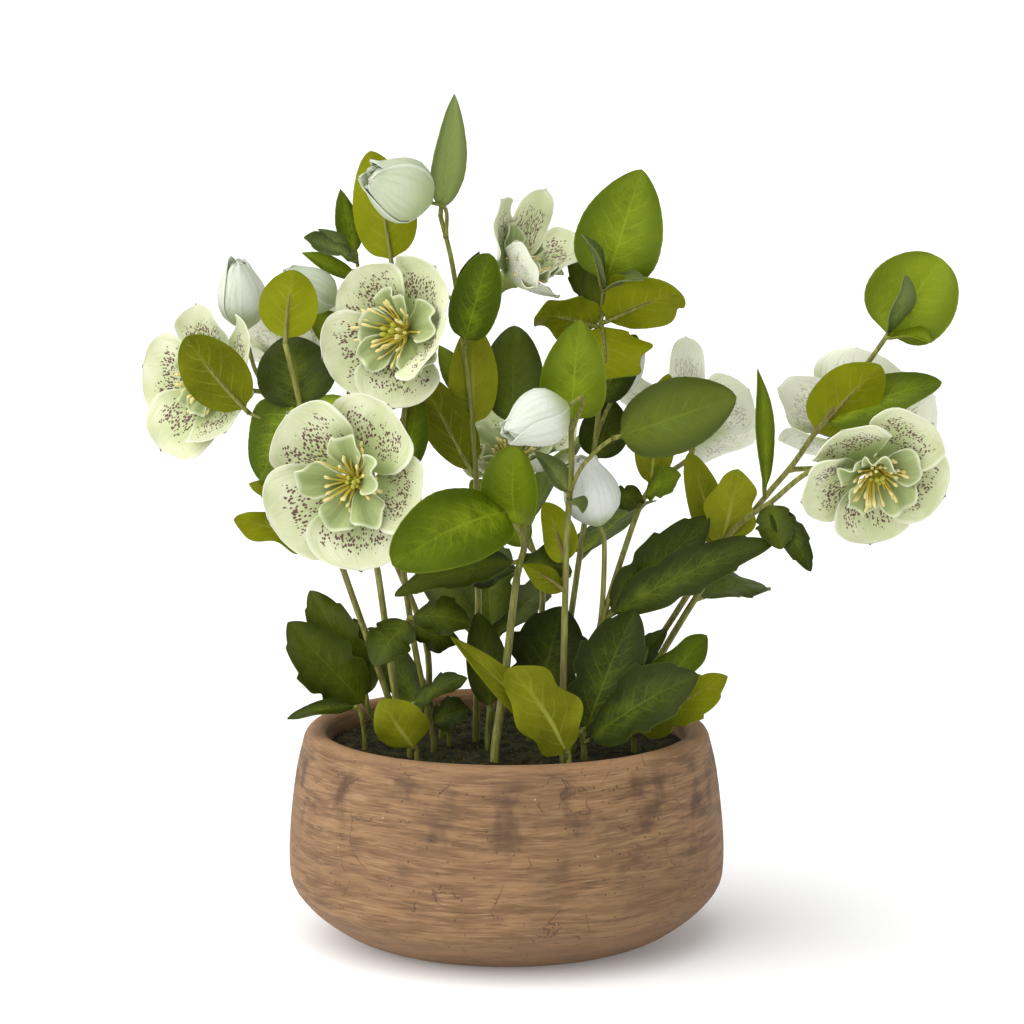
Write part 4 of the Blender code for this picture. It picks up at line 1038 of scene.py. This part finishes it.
def speckles(flat, a, v):
    """Small dots that crowd together halfway along a tepal and thin out towards its edges."""
    shift = node_by(flat, "CombineXYZ", 0.0, 0.0, tone_of(flat) * 9.0)
    own = Amount(node_by(flat, "VectorMath", flat, Amount(shift.outputs[0]), operation="ADD").outputs[0])
    thick = eased(v, 0.18, 0.42) * eased(v, 0.90, 0.60) * eased(a, 0.95, 0.45)
    thick = thick * eased(cloud(own, METRE / 5, 2), 0.34, 0.58, 0.30, 1.0)
    marks = []
    for stretch, most in (((38, 22, 30), 0.43), ((27, 16, 30), 0.36)):
        distance, colour = cells(own, METRE, "F1", stretch)
        chance = Amount(node_by(flat, "SeparateColor", colour).outputs[0])
        size = calc("MINIMUM", thick * 1.35 - chance * 0.9, most)
        marks.append(eased(size - distance, -0.02, 0.07))
    return calc("MAXIMUM", *marks)


def tepal_face():
    finish, place, flat = pale_cloth("tepal_speckled", 0.60, 0.3, 0.10, 0.10, (0.6, 0.8, 0.3))
    a, _, v = across_and_along(flat)
    streak = streaks(flat, 26)
    colour = layered(mixed(eased(cloud(place, 20, 3), 0.3, 0.7), (0.57, 0.61, 0.35), (0.71, 0.73, 0.50)),
                     (eased(v, 0.62, 0.10), (0.36, 0.44, 0.14)),
                     (eased(a, 0.5, 0.0) * eased(v, 1.0, 0.4, 0.0, 0.45), (0.40, 0.48, 0.19)),
                     (eased(streak, 0.50, 0.72) * 0.35, (0.36, 0.46, 0.17)),
                     (rim_of(a, v), (0.76, 0.78, 0.61)),
                     (speckles(flat, a, v) * 0.92, (0.105, 0.018, 0.030)))
    return given(finish, colour, streak, 0.35)


def tepal_back():
    finish, place, flat = pale_cloth("tepal_plain_painted_light", 0.64, 0.25, 0.10, 0.10, (0.6, 0.8, 0.3))
    a, _, v = across_and_along(flat)
    streak = streaks(flat, 26)
    # The pale base colours are partly the tepal's own cream back and partly painted light, raised to stand in
    # for light shining through the tepal.
    colour = layered(mixed(cloud(place, 20, 3), (0.74, 0.77, 0.57), (0.88, 0.89, 0.77)),
                     (eased(v, 0.50, 0.05), (0.34, 0.42, 0.13)),
                     (eased(streak, 0.48, 0.72) * 0.45, (0.44, 0.52, 0.26)),
                     (rim_of(a, v), (0.82, 0.84, 0.70)),
                     (speckles(flat, a, v) * 0.45, (0.22, 0.10, 0.14)))
    return given(finish, colour, streak)


def petal_finish(name, low, high, edge):
    finish, place, flat = pale_cloth(name, 0.6, 0.3, 0.08, 0.08, (0.5, 0.8, 0.3))
    a, _, v = across_and_along(flat)
    streak = streaks(flat, 22)
    # Darker towards the base, where the petals sit deep in the cup of tepals: partly their own green, partly
    # painted shade.
    colour = layered(mixed(eased(v, 0.10, 1.0), low, high),
                     (eased(streak, 0.44, 0.68) * 0.5, (0.24, 0.31, 0.10)), (rim_of(a, v), edge))
    return given(finish, colour, streak, 0.5)


def bud_finish(name, low, white, green):
    finish, place, flat = pale_cloth(name, 0.62, 0.25, 0.05, 0.10, (0.7, 0.8, 0.5))
    a, side, v = across_and_along(flat)
    tone = tone_of(place)
    streak = streaks(flat, 15)
    strong = tone * 0.35 + 0.20
    veins = veins_of(a, side, v, place, 9.0, 0.42) * (strong * 0.6)
    colour = layered(mixed(eased(v, 0.0, tone * 0.4 + 0.25), low, mixed(tone, white, green)),
                     (eased(streak, 0.47, 0.66) * strong, (0.36, 0.44, 0.25)),
                     (veins, (0.40, 0.48, 0.30)),
                     (rim_of(a, v, 0.88, 1.0), (0.70, 0.72, 0.62)))
    return given(finish, colour, streak + veins * -0.5, 0.45)


def neck_finish():
    finish, place, _ = finish_of("neck_green", 0.6, 0.3)
    colour = mixed(cloud(place, 4, 3), (0.24, 0.29, 0.06), (0.38, 0.42, 0.13))
    return given(finish, colour, cloud(place, 1.2, 2))


def stamen_finish():
    finish, place, _ = finish_of("stamen_gold", 0.5, 0.4)
    tone = tone_of(place)
    colour = layered(mixed(eased(tone, 0.05, 0.45), (0.40, 0.42, 0.040), (0.57, 0.46, 0.05)),
                     (eased(tone, 0.70, 0.95), (0.82, 0.72, 0.30)),
                     (cloud(place, 2.2, 2) * 0.25, (0.34, 0.27, 0.02)))
    return given(finish, colour, cloud(place, 0.8, 2), 0.25)


def stalk_finish():
    finish, place, _ = finish_of("stalk_olive", 0.5, 0.4, Sheen_Weight=0.05)
    streak = cloud(place, 3.0, 3, (2.0, 2.0, 0.25))
    colour = mixed(eased(streak, 0.3, 0.7), (0.12, 0.125, 0.012), (0.25, 0.26, 0.045))
    colour = mixed(eased(cloud(place, 30, 2), 0.52, 0.78), colour, (0.15, 0.10, 0.028))
    return given(finish, colour, streak, 0.4)


def pot_finish():
    """Clay brushed in rows, with scratches, dark smears under the lip, hair cracks, pits and pale grit."""
    finish, place, _ = finish_of("pot_brushed_clay", 0.72, 0.35)
    high = parts_of(place)[2]
    wavy = bent(place, 60, 3.0)
    wide = cloud(place, 70, 3)
    rows = cloud(wavy, 18, 5, (0.55, 0.55, 4.5))
    fine = cloud(wavy, 5, 5, (0.36, 0.36, 5.5))
    hair = cloud(wavy, 4, 3, (0.30, 0.30, 6.0))
    scratch = eased(hair, 0.60, 0.68) * eased(fine, 0.60, 0.40, 0.15, 0.75)
    smear = eased(cloud(wavy, 20, 3, (1.0, 1.0, 0.75)) + rows * -0.25, 0.36, 0.58)
    smear = smear * (eased(high, 0.035, 0.085, 0.15, 1.0) * eased(high, 0.1085, 0.098))
    crack = cells(bent(place, 9, 4.0), 34, "DISTANCE_TO_EDGE", (1, 1, 1.2))[0]
    crack = eased(crack, 0.002, 0.009, 1.0, 0.0) * eased(cloud(place, 14, 2), 0.50, 0.60)
    pits = eased(cells(place, 3.8)[0], 0.09, 0.16, 1.0, 0.0) * eased(cloud(place, 9, 1), 0.46, 0.56)
    grit = eased(cells(place, 13.0)[0], 0.022, 0.035, 1.0, 0.0)
    lip = eased(high, 0.1065, 0.1115) * eased(wide, 0.60, 0.40, 0.30, 0.70)
    colour = layered(mixed(eased(rows, 0.32, 0.68), (0.178, 0.094, 0.042), (0.295, 0.168, 0.078)),
                     (eased(fine, 0.50, 0.70) * 0.55, (0.41, 0.260, 0.138)),
                     (eased(fine, 0.46, 0.30) * 0.50, (0.115, 0.060, 0.029)),
                     (eased(wide, 0.48, 0.68) * 0.45, (0.185, 0.100, 0.049)),
                     (scratch, (0.115, 0.062, 0.034)),
                     (smear * 0.85, (0.090, 0.047, 0.025)),
                     (crack * 0.60, (0.085, 0.048, 0.028)),
                     (pits * 0.8, (0.055, 0.032, 0.020)),
                     (grit * 0.8, (0.62, 0.55, 0.46)),
                     (lip, (0.34, 0.190, 0.092)),
                     (eased(high, 0.028, 0.014) * 0.55, (0.215, 0.125, 0.066)))
    height = fine * 0.9 + rows * 0.6 - (pits + crack + scratch * 0.6)
    return given(finish, colour, height, 0.6, eased(fine, 0.3, 0.7, 0.62, 0.80))


def soil_finish():
    finish, place, _ = finish_of("soil_moss_dark", 0.95, 0.15)
    colour = mixed(eased(cloud(place, 5, 4), 0.35, 0.70), (0.010, 0.009, 0.004), (0.050, 0.042, 0.015))
    colour = mixed(eased(cloud(place, 19, 3), 0.50, 0.70) * 0.6, colour, (0.035, 0.042, 0.010))
    return given(finish, colour, cloud(place, 2.2, 5), 1.2)


def strand_finish():
    finish, place, _ = finish_of("moss_strands", 0.8, 0.2)
    colour = mixed(tone_of(place), (0.020, 0.020, 0.007), (0.105, 0.084, 0.028))
    colour = mixed(eased(cloud(place, 21, 2), 0.48, 0.66), colour, (0.055, 0.070, 0.016))
    return given(finish, colour, cloud(place, 1.0, 2), 0.2)


def floor_finish():
    finish, place, _ = finish_of("floor_pale", 0.9, 0.1, Emission_Color=(1, 1, 1, 1), Emission_Strength=0.14)
    return given(finish, mixed(cloud(place, 3000, 2), (0.93, 0.93, 0.93), (0.95, 0.95, 0.95)))


# The studio: a camera, a soft key light from the left, pale light all round and a floor.


def set_studio():
    scene = bpy.context.scene
    scene.view_settings.view_transform = "Standard"
    bpy.ops.object.camera_add(location=CAMERA_PLACE, rotation=(math.radians(CAMERA_TILT), 0, 0))
    camera = bpy.context.object
    camera.data.lens = CAMERA_LENS
    camera.data.sensor_width = 36
    camera.data.clip_end = 100
    scene.camera = camera
    bpy.ops.object.light_add(type="SUN", rotation=[math.radians(turn) for turn in KEY_TURN])
    key = bpy.context.object
    key.name = "key_light"
    key.data.energy = KEY_STRENGTH
    key.data.angle = math.radians(KEY_WIDTH)
    world = bpy.data.worlds.new("pale_room")
    world.use_nodes = True
    world.node_tree.nodes["Background"].inputs["Color"].default_value = (1, 1, 1, 1)
    world.node_tree.nodes["Background"].inputs["Strength"].default_value = ROOM_STRENGTH
    scene.world = world
    bpy.ops.object.select_all(action="DESELECT")
    bpy.ops.mesh.primitive_plane_add(size=FLOOR_SIZE, location=(0, 0, 0))
    floor = bpy.context.object
    floor.name = "floor"
    floor.data.materials.append(floor_finish())


def make_patterns():
    """Each pattern with its finishes. On a sheet, each finish is followed by the one of its under side."""
    leaf = [
        leaf_top("leaf_green", (0.057, 0.088, 0.001), (0.174, 0.228, 0.008), (0.29, 0.37, 0.020),
                 (0.225, 0.308, 0.010), 0.46),
        leaf_under("leaf_green_under", (0.098, 0.112, 0.000), (0.215, 0.238, 0.002), (0.35, 0.36, 0.06)),
        leaf_top("leaf_dark", (0.021, 0.029, 0.002), (0.076, 0.099, 0.006), (0.130, 0.170, 0.012),
                 (0.100, 0.134, 0.007), 0.40),
        leaf_under("leaf_dark_under", (0.060, 0.072, 0.001), (0.130, 0.148, 0.003), (0.22, 0.24, 0.04)),
        leaf_under("leaf_olive", (0.108, 0.118, 0.001), (0.245, 0.264, 0.008), (0.35, 0.37, 0.06)),
        leaf_under("leaf_olive_under", (0.095, 0.110, 0.000), (0.185, 0.205, 0.002), (0.33, 0.34, 0.06)),
        leaf_top("leaf_grey", (0.070, 0.092, 0.024), (0.225, 0.280, 0.080), (0.30, 0.36, 0.12),
                 (0.215, 0.285, 0.060), 0.52),
        leaf_under("leaf_grey_under", (0.080, 0.098, 0.030), (0.170, 0.205, 0.075), (0.26, 0.30, 0.12)),
    ]
    petal = [
        tepal_face(),
        tepal_back(),
        petal_finish("petal_ruffled", (0.15, 0.20, 0.035), (0.40, 0.46, 0.20), (0.72, 0.75, 0.54)),
        petal_finish("petal_outside", (0.24, 0.31, 0.08), (0.50, 0.55, 0.32), (0.64, 0.67, 0.48)),
    ]
    bud = [
        bud_finish("bud_outside", (0.38, 0.45, 0.18), (0.74, 0.76, 0.70), (0.48, 0.53, 0.37)),
        bud_finish("bud_inside", (0.38, 0.45, 0.18), (0.66, 0.69, 0.60), (0.44, 0.50, 0.33)),
    ]
    gold = [stamen_finish()]
    for name, pattern, coats in (
            ("oval", flat_sheet(12, 34), leaf),
            ("round", flat_sheet(12, 34), leaf),
            ("heart", flat_sheet(12, 34), leaf),
            ("wavy", flat_sheet(12, 34), leaf),
            ("lance", flat_sheet(8, 28), leaf),
            ("cut", flat_sheet(10, 64), leaf),
            ("tepal", flat_sheet(16, 20), petal),
            ("petal", flat_sheet(16, 14), petal),
            ("wrap", flat_sheet(12, 16), bud),
            ("heart of a bud", turned(20, HEART_OUTLINE), bud),
            ("neck", turned(20, NECK_OUTLINE), [neck_finish()]),
            ("dome", turned(20, DOME_OUTLINE), gold),
            ("thread", turned(6, THREAD_OUTLINE), gold),
            ("strand", turned(3, STRAND_OUTLINE), [strand_finish()])):
        for coat in coats:
            pattern.data.materials.append(coat)
        patterns[name] = pattern


def build():
    set_studio()
    make_patterns()
    stalk_coat = stalk_finish()
    add_pot(pot_finish())
    add_soil(soil_finish())
    add_moss()
    for name, (foot, runs, blades) in STEMS.items():
        add_stem(name, foot, runs, blades, stalk_coat)
    for name, (centre, facing, radius, roll, cup) in BLOOMS.items():
        add_bloom(name, centre, facing, radius, roll, cup)
        add_stamens(name.replace("bloom", "stamens"), centre, facing, radius)
    for name, (base, tip, width) in BUDS.items():
        add_bud(name, base, tip, width)
    for pattern in patterns.values():
        bpy.data.objects.remove(pattern)


build()
